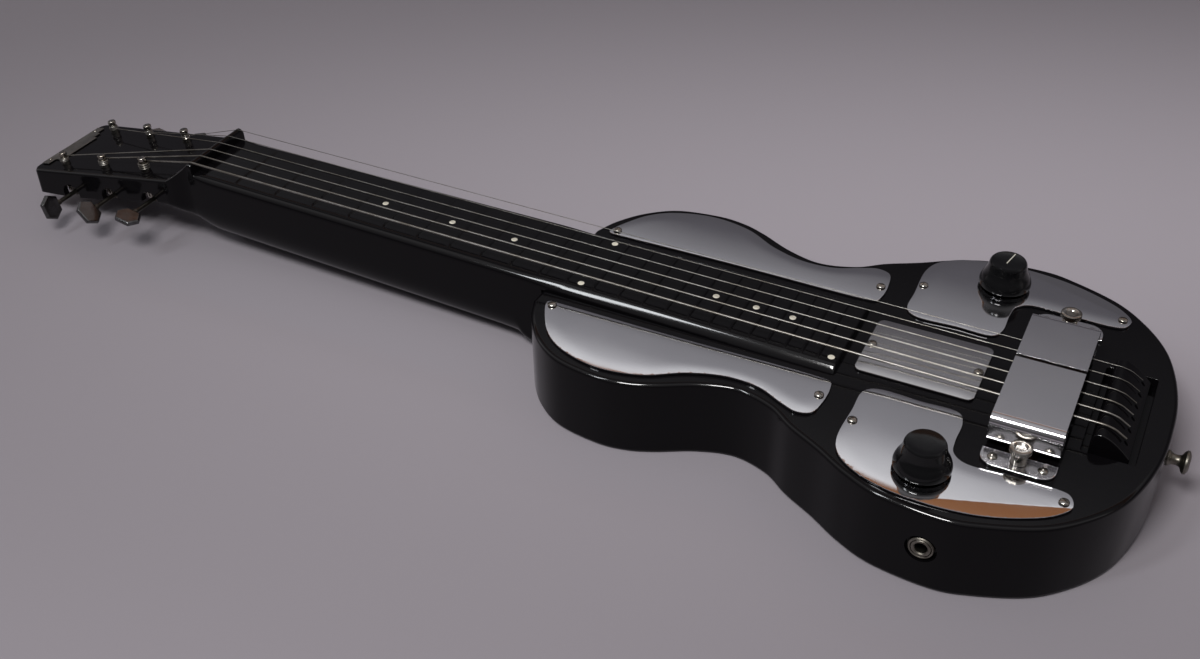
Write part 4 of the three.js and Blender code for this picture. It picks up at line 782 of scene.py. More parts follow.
# Finishes: where each wear pattern begins and ends, colours, and relief in metres
SMUDGE_SPAN = (0.35, 0.7)
SCRATCH_SPAN = (0.66, 0.74)
SCRATCH_FINENESS = 2600.0
SCRATCH_SCALE = 1.0
SCRATCH_RUNS = ((0.35, 40.0), (-0.5, 55.0), (1.2, 60.0))
DUST_SPREAD_SCALE = 60.0
DUST_SPREAD_SPAN = (0.5, 0.6)
DUST_LEVEL_SPAN = (0.5, 0.9)
RUBBED_LEAN_SPAN = (0.4, 0.55)
DULL_SPAN = (0.3, 0.7)
DULL_ROUGHNESS_SPREAD = 0.08
RUBBED_GLOSS = 0.9
PHENOLIC_IOR = 1.45
PHENOLIC_SPECULAR = 0.17
RUBBED_IOR = 1.5
RUBBED_ROUGHNESS = 0.08
PHENOLIC_BLACKS = ((0.0024, 0.0021, 0.0026), (0.0033, 0.0029, 0.0035))
PHENOLIC_DUST = (0.16, 0.15, 0.15)
PHENOLIC_RELIEF = 0.00003
SHEET_DULLING = 0.9
SHEET_SCRATCH_ROUGHNESS = 0.5
SHEET_RELIEF = 0.00005
NICKEL_GRAIN_SCALE = 1400.0
NICKEL_RELIEF = 0.000012
WIRE_TONES = ((0.3, 0.29, 0.27), (0.2, 0.185, 0.16))
WINDING_SCALE = 477.46
KNOB_IOR = 1.36
KNOB_BLACK = (0.004, 0.004, 0.0045)
KNOB_DUST = (0.2, 0.19, 0.18)
KNOB_GRAIN_SCALE = 500.0
KNOB_RELIEF = 0.00002
DULL_GRAIN_RATIO = 6


# Shader helpers
def new_group(name, inputs, outputs):
    group = bpy.data.node_groups.new(name, "ShaderNodeTree")
    for title, value in inputs:
        socket = group.interface.new_socket(name=title, in_out="INPUT", socket_type="NodeSocketFloat")
        socket.default_value = value
    for title, kind in outputs:
        group.interface.new_socket(name=title, in_out="OUTPUT", socket_type=kind)
    source = group.nodes.new("NodeGroupInput")
    result = group.nodes.new("NodeGroupOutput")
    return group, source, result


def math_node(tree, operation, first, second=None):
    made = tree.nodes.new("ShaderNodeMath")
    made.operation = operation
    for socket, value in zip(made.inputs, (first, second)):
        if value is None:
            continue
        if isinstance(value, (int, float)):
            socket.default_value = value
        else:
            tree.links.new(value, socket)
    return made.outputs[0]


def map_range(tree, value, span, to_low=0.0, to_high=1.0):
    """The value stretched from a span's two ends to two others, and held there beyond them."""
    low, high = span
    made = tree.nodes.new("ShaderNodeMapRange")
    fill_inputs(tree, made, {"Value": value, "From Min": low, "From Max": high, "To Min": to_low,
                             "To Max": to_high})
    return made.outputs[0]


def fill_inputs(tree, node, entries):
    for title, entry in entries.items():
        if isinstance(entry, (int, float)):
            node.inputs[title].default_value = entry
        else:
            tree.links.new(entry, node.inputs[title])


def object_place(tree, stretch=(1, 1, 1), turn=(0, 0, 0)):
    place = tree.nodes.new("ShaderNodeTexCoord").outputs["Object"]
    mapping = tree.nodes.new("ShaderNodeMapping")
    mapping.inputs["Scale"].default_value = stretch
    mapping.inputs["Rotation"].default_value = turn
    tree.links.new(place, mapping.inputs["Vector"])
    return mapping.outputs["Vector"]


def noise(tree, vector, scale, detail, roughness=0.5):
    made = tree.nodes.new("ShaderNodeTexNoise")
    fill_inputs(tree, made, {"Vector": vector, "Scale": scale, "Detail": detail, "Roughness": roughness})
    return made.outputs["Fac"]


def smudge_group():
    """Soft patches where hands have been: a roughness that wanders between two values."""
    group, source, result = new_group(
        "Hand smudges", [("Scale", 20.0), ("Polished", 0.1), ("Smudged", 0.2)],
        [("Roughness", "NodeSocketFloat")])
    broad = noise(group, object_place(group), source.outputs["Scale"], detail=5.0, roughness=0.6)
    value = map_range(group, broad, SMUDGE_SPAN, source.outputs["Polished"], source.outputs["Smudged"])
    group.links.new(value, result.inputs["Roughness"])
    return group


def scratch_group():
    """Fine wiping scratches that run several ways."""
    group, source, result = new_group(
        "Wiping scratches", [("Depth", 1.0)],
        [("Height", "NodeSocketFloat"), ("Mask", "NodeSocketFloat")])
    total = None
    for turn, length in SCRATCH_RUNS:
        vector = object_place(group, (length, SCRATCH_FINENESS, SCRATCH_FINENESS), (0, 0, turn))
        line = noise(group, vector, SCRATCH_SCALE, detail=2.0)
        line = map_range(group, line, SCRATCH_SPAN)
        total = line if total is None else math_node(group, "MAXIMUM", total, line)
    height = math_node(group, "MULTIPLY", total, source.outputs["Depth"])
    group.links.new(height, result.inputs["Height"])
    group.links.new(total, result.inputs["Mask"])
    return group


def dust_group():
    """Small pale specks that settle on upward faces."""
    group, source, result = new_group(
        "Settled dust", [("Scale", 500.0), ("Size", 0.08), ("Amount", 0.6)],
        [("Mask", "NodeSocketFloat")])
    cells = group.nodes.new("ShaderNodeTexVoronoi")
    group.links.new(object_place(group), cells.inputs["Vector"])
    group.links.new(source.outputs["Scale"], cells.inputs["Scale"])
    near = math_node(group, "LESS_THAN", cells.outputs["Distance"], source.outputs["Size"])
    some = noise(group, object_place(group), DUST_SPREAD_SCALE, detail=2.0)
    some = map_range(group, some, DUST_SPREAD_SPAN)
    facing = group.nodes.new("ShaderNodeNewGeometry").outputs["Normal"]
    split = group.nodes.new("ShaderNodeSeparateXYZ")
    group.links.new(facing, split.inputs[0])
    upward = map_range(group, split.outputs["Z"], DUST_LEVEL_SPAN)
    mask = math_node(group, "MULTIPLY", math_node(group, "MULTIPLY", near, some), upward)
    group.links.new(math_node(group, "MULTIPLY", mask, source.outputs["Amount"]), result.inputs["Mask"])
    return group


def ripple_group():
    """Slow waves of pressed sheet or moulding."""
    group, source, result = new_group(
        "Slow ripple", [("Scale", 12.0), ("Depth", 0.1)], [("Height", "NodeSocketFloat")])
    wave = noise(group, object_place(group), source.outputs["Scale"], detail=1.0, roughness=0.4)
    group.links.new(math_node(group, "MULTIPLY", wave, source.outputs["Depth"]), result.inputs["Height"])
    return group


def rubbed_edge_group():
    """Where a rounded upper edge leans outward and has been rubbed bright."""
    group, source, result = new_group(
        "Rubbed edges", [("Plain", 0.0), ("Rubbed", RUBBED_GLOSS)], [("Gloss", "NodeSocketFloat")])
    facing = group.nodes.new("ShaderNodeNewGeometry").outputs["Normal"]
    split = group.nodes.new("ShaderNodeSeparateXYZ")
    group.links.new(facing, split.inputs[0])
    outward_lean = map_range(group, math_node(group, "ABSOLUTE", split.outputs["Y"]), RUBBED_LEAN_SPAN)
    upward_lean = map_range(group, split.outputs["Z"], RUBBED_LEAN_SPAN)
    mask = math_node(group, "MULTIPLY", outward_lean, upward_lean)
    gloss = map_range(group, mask, (0.0, 1.0), source.outputs["Plain"], source.outputs["Rubbed"])
    group.links.new(gloss, result.inputs["Gloss"])
    return group


def cloud_group():
    """Soft clouds that carry a tone from one colour to another."""
    group, source, result = new_group(
        "Soft clouds", [("Scale", 100.0), ("Detail", 4.0), ("Roughness", 0.5), ("Low", 0.0), ("High", 1.0)],
        [("Mask", "NodeSocketFloat")])
    clouds = noise(group, object_place(group), source.outputs["Scale"], source.outputs["Detail"],
                   source.outputs["Roughness"])
    mask = map_range(group, clouds, (source.outputs["Low"], source.outputs["High"]))
    group.links.new(mask, result.inputs["Mask"])
    return group


def grain_group():
    """Fine grain of a surface that isn't polished."""
    group, source, result = new_group("Fine grain", [("Scale", 500.0)], [("Height", "NodeSocketFloat")])
    grain = noise(group, object_place(group), source.outputs["Scale"], detail=3.0)
    group.links.new(grain, result.inputs["Height"])
    return group


SMUDGES = smudge_group()
SCRATCHES = scratch_group()
DUST = dust_group()
RIPPLE = ripple_group()
RUBBED_EDGES = rubbed_edge_group()
CLOUDS = cloud_group()
GRAIN = grain_group()


def use_group(tree, group, **values):
    made = tree.nodes.new("ShaderNodeGroup")
    made.node_tree = group
    fill_inputs(tree, made, values)
    return made


def grain_bump(tree, scale, relief):
    grain = use_group(tree, GRAIN, Scale=scale)
    return bump(tree, grain.outputs["Height"], relief)


def new_material(name):
    material = bpy.data.materials.new(name)
    material.use_nodes = True
    tree = material.node_tree
    tree.nodes.clear()
    shader = tree.nodes.new("ShaderNodeBsdfPrincipled")
    output = tree.nodes.new("ShaderNodeOutputMaterial")
    tree.links.new(shader.outputs[0], output.inputs[0])
    return material, tree, shader


def blend_color(tree, mask, plain, marked):
    mix = tree.nodes.new("ShaderNodeMix")
    mix.data_type = "RGBA"
    for socket, value in ((mix.inputs[6], plain), (mix.inputs[7], marked)):
        if isinstance(value, tuple):
            socket.default_value = (*value, 1)
        else:
            tree.links.new(value, socket)
    tree.links.new(mask, mix.inputs[0])
    return mix.outputs[2]


def bump(tree, height, distance):
    made = tree.nodes.new("ShaderNodeBump")
    made.inputs["Distance"].default_value = distance
    tree.links.new(height, made.inputs["Height"])
    return made.outputs["Normal"]


def black_phenolic(name, polish, smudged):
    """Moulded black phenolic: near black, glossy, dusty, with fine wiping marks."""
    material, tree, shader = new_material(name)
    shader.inputs["IOR"].default_value = PHENOLIC_IOR
    shader.inputs["Specular IOR Level"].default_value = PHENOLIC_SPECULAR
    shader.inputs["Coat IOR"].default_value = RUBBED_IOR
    shader.inputs["Coat Roughness"].default_value = RUBBED_ROUGHNESS
    rubbed = use_group(tree, RUBBED_EDGES, Plain=0.0, Rubbed=RUBBED_GLOSS)
    tree.links.new(rubbed.outputs["Gloss"], shader.inputs["Coat Weight"])
    smudges = use_group(tree, SMUDGES, Scale=14.0, Polished=polish, Smudged=smudged)
    tree.links.new(smudges.outputs["Roughness"], shader.inputs["Roughness"])
    dust = use_group(tree, DUST, Scale=520.0, Size=0.055, Amount=0.25)
    clouds = use_group(tree, CLOUDS, Scale=9.0, Detail=3.0)
    black = blend_color(tree, clouds.outputs["Mask"], *PHENOLIC_BLACKS)
    dusty = blend_color(tree, dust.outputs["Mask"], black, PHENOLIC_DUST)
    tree.links.new(dusty, shader.inputs["Base Color"])
    scratches = use_group(tree, SCRATCHES, Depth=0.12)
    ripple = use_group(tree, RIPPLE, Scale=14.0, Depth=0.6)
    total = math_node(tree, "ADD", scratches.outputs["Height"], ripple.outputs["Height"])
    tree.links.new(bump(tree, total, PHENOLIC_RELIEF), shader.inputs["Normal"])
    return material


def chromed_sheet(name, color, polish, smudged, ripple_depth, scratch_depth):
    """Bright chrome on pressed sheet: slow waves, wiping scratches and hand smudges."""
    material, tree, shader = new_material(name)
    shader.inputs["Metallic"].default_value = 1.0
    smudges = use_group(tree, SMUDGES, Scale=22.0, Polished=polish, Smudged=smudged)
    scratches = use_group(tree, SCRATCHES, Depth=scratch_depth)
    roughened = SHEET_SCRATCH_ROUGHNESS * scratch_depth
    scratched = math_node(tree, "MULTIPLY", scratches.outputs["Mask"], roughened)
    rough = math_node(tree, "ADD", smudges.outputs["Roughness"], scratched)
    tree.links.new(rough, shader.inputs["Roughness"])
    dull = tuple(SHEET_DULLING * c for c in color)
    clouds = use_group(tree, CLOUDS, Scale=30.0, Detail=6.0, Roughness=0.65)
    tree.links.new(blend_color(tree, clouds.outputs["Mask"], dull, color), shader.inputs["Base Color"])
    ripple = use_group(tree, RIPPLE, Scale=11.0, Depth=ripple_depth)
    total = math_node(tree, "ADD", scratches.outputs["Height"], ripple.outputs["Height"])
    tree.links.new(bump(tree, total, SHEET_RELIEF), shader.inputs["Normal"])
    return material


def aged_nickel(name, color, tarnish, polish, smudged):
    """Nickel plate that has yellowed and dulled in patches; for the tuner metals its colour is also darkened
    overall as painted shade.
    """
    material, tree, shader = new_material(name)
    shader.inputs["Metallic"].default_value = 1.0
    smudges = use_group(tree, SMUDGES, Scale=90.0, Polished=polish, Smudged=smudged)
    tree.links.new(smudges.outputs["Roughness"], shader.inputs["Roughness"])
    patches = use_group(tree, CLOUDS, Scale=160.0, Detail=6.0, Roughness=0.7, Low=0.4, High=0.68)
    tree.links.new(blend_color(tree, patches.outputs["Mask"], color, tarnish), shader.inputs["Base Color"])
    tree.links.new(grain_bump(tree, NICKEL_GRAIN_SCALE, NICKEL_RELIEF), shader.inputs["Normal"])
    return material


def wire(name, depth):
    """String wire, dull and toned in patches; a heavy string's close winding shows as fine rings."""
    material, tree, shader = new_material(name)
    shader.inputs["Metallic"].default_value = 1.0
    waves = tree.nodes.new("ShaderNodeTexWave")
    waves.bands_direction = "X"
    waves.inputs["Scale"].default_value = WINDING_SCALE
    tree.links.new(object_place(tree), waves.inputs["Vector"])
    tone = use_group(tree, CLOUDS, Scale=70.0, Detail=4.0, Low=0.4, High=0.65)
    tree.links.new(blend_color(tree, tone.outputs["Mask"], *WIRE_TONES), shader.inputs["Base Color"])
    smudges = use_group(tree, SMUDGES, Scale=60.0, Polished=0.3, Smudged=0.4)
    tree.links.new(smudges.outputs["Roughness"], shader.inputs["Roughness"])
    tree.links.new(bump(tree, waves.outputs["Fac"], depth), shader.inputs["Normal"])
    return material


def knob_plastic():
    """Turned black plastic: dusty, smudged and finely grained."""
    material, tree, shader = new_material("knob plastic")
    shader.inputs["IOR"].default_value = KNOB_IOR
    smudges = use_group(tree, SMUDGES, Scale=70.0, Polished=0.07, Smudged=0.2)
    tree.links.new(smudges.outputs["Roughness"], shader.inputs["Roughness"])
    dust = use_group(tree, DUST, Scale=900.0, Size=0.07, Amount=0.3)
    dusty = blend_color(tree, dust.outputs["Mask"], KNOB_BLACK, KNOB_DUST)
    tree.links.new(dusty, shader.inputs["Base Color"])
    tree.links.new(grain_bump(tree, KNOB_GRAIN_SCALE, KNOB_RELIEF), shader.inputs["Normal"])
    return material


def dull_stuff(name, color, marked, roughness, scale, relief):
    """Plain stuff with a cloudy colour: dots, paint, board, wound wire and waxed paper."""
    material, tree, shader = new_material(name)
    patches = use_group(tree, CLOUDS, Scale=scale, Detail=6.0, Roughness=0.6).outputs["Mask"]
    tree.links.new(blend_color(tree, patches, color, marked), shader.inputs["Base Color"])
    spread = DULL_ROUGHNESS_SPREAD
    rough = map_range(tree, patches, DULL_SPAN, roughness - spread, roughness + spread)
    tree.links.new(rough, shader.inputs["Roughness"])
    tree.links.new(grain_bump(tree, scale * DULL_GRAIN_RATIO, relief), shader.inputs["Normal"])
    return material


PHENOLIC = black_phenolic("black phenolic", polish=0.06, smudged=0.13)
BOARD_PHENOLIC = black_phenolic("neck phenolic", polish=0.06, smudged=0.14)
CHROME = chromed_sheet(
    "chromed plate", (0.72, 0.715, 0.735), polish=0.05, smudged=0.1, ripple_depth=1.7, scratch_depth=0.015)
MAGNET_CHROME = chromed_sheet(
    "chromed magnet", (0.68, 0.67, 0.69), polish=0.1, smudged=0.17, ripple_depth=0.3, scratch_depth=0.01)
SCUFFED_CHROME = chromed_sheet(
    "scuffed centre plate", (0.54, 0.53, 0.535), polish=0.09, smudged=0.15, ripple_depth=2.2,
    scratch_depth=0.004)
NICKEL = aged_nickel("aged nickel", (0.42, 0.405, 0.375), (0.22, 0.19, 0.15), polish=0.14, smudged=0.27)
STEEL = aged_nickel("plain steel", (0.5, 0.49, 0.48), (0.3, 0.28, 0.26), polish=0.25, smudged=0.42)
# Tuner buttons: nickel whose colour is darkened as painted shade, standing in for the dark reflections on
# their faces
BUTTON_NICKEL_PAINTED_SHADE = aged_nickel(
    "nickel darkened as painted shade", (0.14, 0.14, 0.145), (0.08, 0.078, 0.075), polish=0.16, smudged=0.26)
TARNISHED = aged_nickel(
    "tarnished nickel", (0.24, 0.225, 0.195), (0.12, 0.105, 0.085), polish=0.28, smudged=0.42)
# Tuner shafts and plates: metal whose colour is darkened as painted shade, for the shade they sit in under
# the head
TUNER_METAL_PAINTED_SHADE = aged_nickel(
    "tuner metal darkened as painted shade", (0.1, 0.092, 0.08), (0.05, 0.044, 0.036), polish=0.3, smudged=0.45)
NAMEPLATE_METAL = aged_nickel(
    "dull nameplate metal", (0.25, 0.246, 0.23), (0.16, 0.157, 0.145), polish=0.34, smudged=0.5)
WOUND_WIRE = wire("wound string", depth=0.000002)
PLAIN_WIRE = wire("plain string", depth=0.0000002)
KNOB_PLASTIC = knob_plastic()
PEARL = dull_stuff(
    "dot pearl", (0.8, 0.77, 0.66), (0.62, 0.58, 0.48), roughness=0.3, scale=300.0, relief=0.00002)
WHITE_PAINT = dull_stuff(
    "pointer paint", (0.72, 0.7, 0.62), (0.5, 0.48, 0.4), roughness=0.5, scale=500.0, relief=0.00002)
BOARD_STUFF = dull_stuff(
    "fibre board", (0.07, 0.035, 0.018), (0.1, 0.055, 0.03), roughness=0.6, scale=120.0, relief=0.0001)
COIL_STUFF = dull_stuff(
    "wound coil", (0.045, 0.016, 0.008), (0.09, 0.03, 0.012), roughness=0.45, scale=200.0, relief=0.0001)
PAPER_STUFF = dull_stuff(
    "waxed paper", (0.42, 0.28, 0.1), (0.3, 0.19, 0.07), roughness=0.5, scale=150.0, relief=0.0001)


# Places on the body
def body_place(share, side=FAR):
    return body_front + share[0] * BODY_LENGTH, side * share[1] * BODY_HALF_WIDTH


def body_outline():
    half = [body_place(share) for share in BODY_OUTLINE_SHARES]
    whole = half + [(x, -y) for x, y in reversed(half)][1:]
    curve = spline(whole, OUTLINE_STEPS)
    return [(x, max(-BODY_HALF_WIDTH, min(BODY_HALF_WIDTH, y))) for x, y in curve][::-1]


def plate_outline(shares, side, steps=OUTLINE_STEPS):
    return sided(closed_curve([body_place(share) for share in shares], steps), side)


def center_plate_outline():
    half = CENTER_PLATE_HALF_WIDTH
    return rounded_rectangle(center_plate_front, center_plate_back, -half, half, CENTER_PLATE_CORNER)


def center_screw_places():
    return [(center_plate_front + CENTER_SCREW_INSET, 0), (center_plate_back - CENTER_SCREW_INSET, 0)]


def plate_screw_places():
    upper = [body_place(share, side) for side in (NEAR, FAR) for share in UPPER_SCREW_SHARES]
    lower = [body_place(share, side) for side in (NEAR, FAR) for share in LOWER_SCREW_SHARES]
    return {"upper": upper, "lower": lower, "center": center_screw_places()}


def near_wall(x):
    wall = sorted((p for p in body_outline() if p[1] < 0), key=lambda p: p[0])
    k = next(i for i in range(len(wall) - 1) if wall[i + 1][0] >= x)
    (x0, y0), (x1, y1) = wall[k], wall[k + 1]
    return y0 + (y1 - y0) * (x - x0) / (x1 - x0)


def jack_x():
    return body_place((JACK_SHARE, 0))[0]


def neck_screw_places():
    return [body_front + share * TENON_LENGTH for share in NECK_SCREW_SHARES]


def on_jack_axis(data):
    return shifted(moved(data, TO_Y), jack_x(), 0, jack_height)


def jack_cavity_y():
    outline = cavity_outline(LOWER_PLATE_SHARES, NEAR)
    knob_y = body_place(KNOB_PLACE_SHARES, NEAR)[1]
    return max(y for x, y in outline if abs(x - jack_x()) < 2 * JACK_BARREL_RADIUS and y < knob_y)


# Body
def body_tools():
    top = BODY_DEPTH + OVERRUN
    tools = []
    for side in (NEAR, FAR):
        for shares, floor in ((UPPER_PLATE_SHARES, UPPER_CAVITY_FLOOR),
                              (LOWER_PLATE_SHARES, LOWER_CAVITY_FLOOR)):
            tools.append(slab(cavity_outline(shares, side), floor, top))
    x0, x1 = center_plate_front + CAVITY_LEDGE, center_plate_back - CAVITY_LEDGE
    half = CENTER_PLATE_HALF_WIDTH - CAVITY_LEDGE
    tools.append(block(x0, x1, -half, half, BODY_DEPTH - CENTER_CAVITY_DEPTH, top))
    tools += channel_tools((x0 + x1) / 2)
    tools += pickup_pocket_tools(top)
    margin = BRIDGE_POCKET_MARGIN
    half = BRIDGE_HALF_WIDTH + margin
    pocket = rounded_rectangle(bridge_front - margin, bridge_front + BRIDGE_LENGTH + margin, -half, half,
                               BRIDGE_POCKET_CORNER)
    tools.append(flared(pocket, BODY_DEPTH - BRIDGE_POCKET_DEPTH, BODY_DEPTH, POCKET_FLARE))
    half = TENON_HALF_WIDTH + SEAT_GAP
    tenon_end = body_front + TENON_LENGTH + SEAT_GAP
    tools.append(block(body_front - OVERRUN, tenon_end, -half, half, TENON_FLOOR, top))
    for x in neck_screw_places():
        tools.append(shifted(rod(NECK_SCREW_SHANK_RADIUS + SEAT_GAP, -OVERRUN, TENON_FLOOR + OVERRUN), x, 0))
        tools.append(shifted(rod(NECK_SCREW_HEAD_RADIUS + SEAT_GAP, -OVERRUN, NECK_SCREW_SINK), x, 0))
    spots = [spot for places in plate_screw_places().values() for spot in places]
    return tools + jack_tools() + screw_tools(spots, BODY_DEPTH - SCREW_LENGTH - SEAT_GAP, top)


def cavity_outline(shares, side):
    return deep_inset(plate_outline(shares, side, CAVITY_STEPS), CAVITY_LEDGE)


def pickup_pocket_tools(top):
    half_x, half_y = FLANGE_HALF_LENGTH + pickup_pocket_room, FLANGE_HALF_WIDTH + pickup_pocket_room
    tab_x = BOBBIN_TAB_HALF_LENGTH + pickup_pocket_room
    tab_y = thumb_y + BOBBIN_TAB_MARGIN + pickup_pocket_room
    floor = BODY_DEPTH - pickup_pocket_depth
    return [
        block(pickup_x - half_x, pickup_x + half_x, -half_y, half_y, floor, top),
        block(pickup_x - tab_x, pickup_x + tab_x, -tab_y, tab_y, floor, top),
    ]


def flared(outline, foot, face, flare):
    """Cutting tool that rounds the mouth of the pocket it cuts."""
    levels = [(0, foot)] + [(-flare * (1 - c), face - flare * (1 - s)) for s, c in quarter_turns()]
    return stepped(outline, levels + [(levels[-1][0], face + OVERRUN)])


def channel_tools(cross_x):
    top = BODY_DEPTH - CHANNEL_COVER
    foot, half = top - CHANNEL_DEPTH, CHANNEL_WIDTH / 2
    reach = body_place((0, LOWER_SCREW_SHARES[0][1]))[1]
    pickup_reach = body_place(KNOB_PLACE_SHARES)[1]
    return [
        block(cross_x - half, cross_x + half, -reach, reach, foot, top),
        block(pickup_x - half, pickup_x + half, -pickup_reach, pickup_reach, foot, top),
    ]


def jack_tools():
    wall = near_wall(jack_x())
    pin_hole = rod(PIN_SCREW_RADIUS + SEAT_GAP, -PIN_SCREW_LENGTH - SEAT_GAP, OVERRUN)
    return [
        on_jack_axis(rod(JACK_SLEEVE_RADIUS + SEAT_GAP, wall - OVERRUN, jack_cavity_y() + OVERRUN)),
        on_jack_axis(rod(JACK_RECESS_RADIUS, wall - OVERRUN, wall + JACK_RECESS_DEPTH)),
        shifted(moved(pin_hole, TO_X), body_tail, 0, PIN_HEIGHT),
    ]


def screw_tools(places, foot, top):
    hole = rod(SCREW_SHANK_RADIUS + SEAT_GAP, foot, top, SCREW_HOLE_SIDES)
    return [shifted(hole, x, y) for x, y in places]


def make_body():
    shape = slab(body_outline(), 0, BODY_DEPTH, BODY_RIM, BODY_RIM)
    piece("moulded_body", shape, BODY, PHENOLIC, "root", ["body_shell"], body_tools())


# Neck
def neck_half_width(x):
    if x > NUT_WIDTH_SHARES[-1][0] * NUT_REACH:
        return NECK_HALF_WIDTH_NUT + (NECK_HALF_WIDTH_HEEL - NECK_HALF_WIDTH_NUT) * x / body_front
    if x >= -NUT_REACH:
        spread = ease(NUT_WIDTH_SHARES, x / NUT_REACH)
        return NECK_HALF_WIDTH_NUT + (HEAD_HALF_WIDTH_NUT - NECK_HALF_WIDTH_NUT) * spread
    along = (-x - NUT_REACH) / (head_reach - NUT_REACH)
    width = HEAD_HALF_WIDTH_NUT + (HEAD_HALF_WIDTH_TIP - HEAD_HALF_WIDTH_NUT) * along
    into_corner = max(0, HEAD_CORNER - (head_reach + x))
    return width - HEAD_CORNER + math.sqrt(max(0, HEAD_CORNER**2 - into_corner**2))


def fret_rise(x):
    nearest = min(abs(x - fret_place(n)) for n in range(1, FRET_COUNT + 1))
    share = nearest / (FRET_WIDTH / 2)
    return FRET_HEIGHT * (1 + math.cos(share * math.pi)) / 2 if share < 1 else 0


def neck_top(x):
    first = NUT_TOP_SHARES[0][0] * NUT_REACH
    if x <= first:
        return -HEAD_DROP + HEAD_SLOPE_SHARE * (x + NUT_REACH)
    if x <= NUT_TOP_SHARES[-1][0] * NUT_REACH:
        return NUT_HEIGHT * ease(NUT_TOP_SHARES, x / NUT_REACH)
    return 0


def neck_underside(x):
    heel_depth = BODY_DEPTH + BOARD_HEIGHT_HEEL - NECK_FLOOR_RISE
    if x > NECK_SIDE_SHARES[0][0] * body_front:
        depth = NECK_DEPTH_NUT + (heel_depth - NECK_DEPTH_NUT) * x / body_front
        side = depth * ease(NECK_SIDE_SHARES, x / body_front)
        return side, depth - side
    rows = sorted(HEAD_UNDERSIDE_SHARES, reverse=True)
    sides = [(-along * head_reach, side * NECK_DEPTH_NUT) for along, side, belly in rows]
    bellies = [(-along * head_reach, belly * NECK_DEPTH_NUT) for along, side, belly in rows]
    along, side = NECK_SIDE_SHARES[0]
    sides.append((along * body_front, side * NECK_DEPTH_NUT))
    bellies.append((along * body_front, (1 - side) * NECK_DEPTH_NUT))
    return ease(sides, x), ease(bellies, x)


def board_section(x):
    """The upper edge of a section, from one rounded shoulder across the fret to the other."""
    half = neck_half_width(x)
    top = neck_top(x)
    rise = fret_rise(x)
    shoulder = NECK_EDGE * ease(NECK_EDGE_SHARES, x / body_front)
    edge = []
    bend = 2 / ease(NECK_EDGE_POWERS, x / body_front)
    for s, c in quarter_turns():
        edge.append((half - shoulder * (1 - c**bend), top - shoulder * (1 - s**bend)))
    reach = half - shoulder
    edge += [(reach - inward, top + rise * share) for inward, share in FRET_END_SHARES]
    edge += [(reach * share, top + rise) for share in BOARD_FACE_SHARES]
    return [(-y, z) for y, z in edge] + [(y, z) for y, z in reversed(edge)]


def neck_ring(x):
    side, belly = neck_underside(x)
    half = neck_half_width(x)
    ring = board_section(x)
    for i in range(NECK_BELLY_STEPS + 1):
        angle = math.pi * i / NECK_BELLY_STEPS
        y, z = math.cos(angle), math.sin(angle)
        y = math.copysign(abs(y) ** (2 / BELLY_POWER), y)
        z = abs(z) ** (2 / BELLY_POWER)
        ring.append((half * y, -side - belly * z))
    return [(x, y, z) for y, z in ring]


def neck_stations():
    corner_end = -head_reach + HEAD_CORNER
    heel = HEEL_START_SHARE * body_front
    last = body_front - SEAT_GAP
    stations = [-head_reach + HEAD_CORNER * (1 - math.cos(a)) for a in quarter_angles(HEAD_TIP_STEPS)]
    stations += even_places(corner_end, HEAD_STATION_STEP, HEAD_STATION_COUNT)
    stations += even_places(-NUT_REACH, NUT_STATION_STEP, NUT_STATION_COUNT)
    stations += even_places(NUT_FOOT_START, NUT_FOOT_STEP, NUT_FOOT_COUNT)
    stations += fret_stations(0, body_front)
    stations += even_places(heel, (body_front - heel) / HEEL_STATION_COUNT, HEEL_STATION_COUNT)
    return sorted({round(x, STATION_DIGITS) for x in stations if x < last - LEAST_STATION_GAP} | {last})


def even_places(start, step, count):
    return [start + i * step for i in range(count)]


def fret_stations(start, end):
    places = []
    for number in range(1, FRET_COUNT + 1):
        x = fret_place(number)
        places += [x + FRET_WIDTH / 2 * share for share in FRET_STATION_SHARES]
    places += even_places(BOARD_STATION_START, BOARD_STATION_STEP, BOARD_STATION_COUNT)
    return [x for x in places if start < x < end]


def tongue_ring(x):
    half = neck_half_width(x)
    ring = board_section(x) + [(half * share, tongue_foot(x)) for share in TONGUE_FOOT_SHARES]
    return [(x, y, z) for y, z in ring]


def tongue_foot(x):
    """Height in the neck's frame of the seam just above the body's top."""
    into_neck = NECK_IN_BODY.inverted()
    return (into_neck @ Vector((x, 0, BODY_DEPTH + SEAT_GAP))).z


def tongue():
    """The board's end that lies on the body, rounded over at its last edge."""
    radius = TONGUE_END_RADIUS
    start = body_front - SEAT_GAP - TONGUE_LAP
    rounding = {board_end - radius * (1 - math.sin(a)) for a in quarter_angles(ROUNDING_STEPS)}
    level = {round(x, STATION_DIGITS) for x in fret_stations(start, board_end - TONGUE_END_ROOM)}
    rings = []
    for x in sorted(level | {start} | rounding):
        into_end = max(0, x - (board_end - radius))
        drop = radius - math.sqrt(max(0, radius**2 - into_end**2))
        rings.append([(px, py, pz - drop if pz > -BOARD_FACE_DEPTH else pz) for px, py, pz in tongue_ring(x)])
    return loft(rings)


def tenon():
    foot = TENON_FLOOR + SEAT_GAP
    top = BODY_DEPTH + BOARD_HEIGHT_END / 2
    half = TENON_HALF_WIDTH
    solid = block(body_front - OVERRUN, body_front + TENON_LENGTH, -half, half, foot, top)
    return moved(solid, NECK_IN_BODY.inverted())


def post_place(side, row):
    return -FIRST_POST - row * POST_PITCH, side * (FIRST_POST_SIDE + row * POST_SPREAD)


def tuner_seats():
    return [(side, row) for side in (NEAR, FAR) for row in range(TUNER_COUNT)]


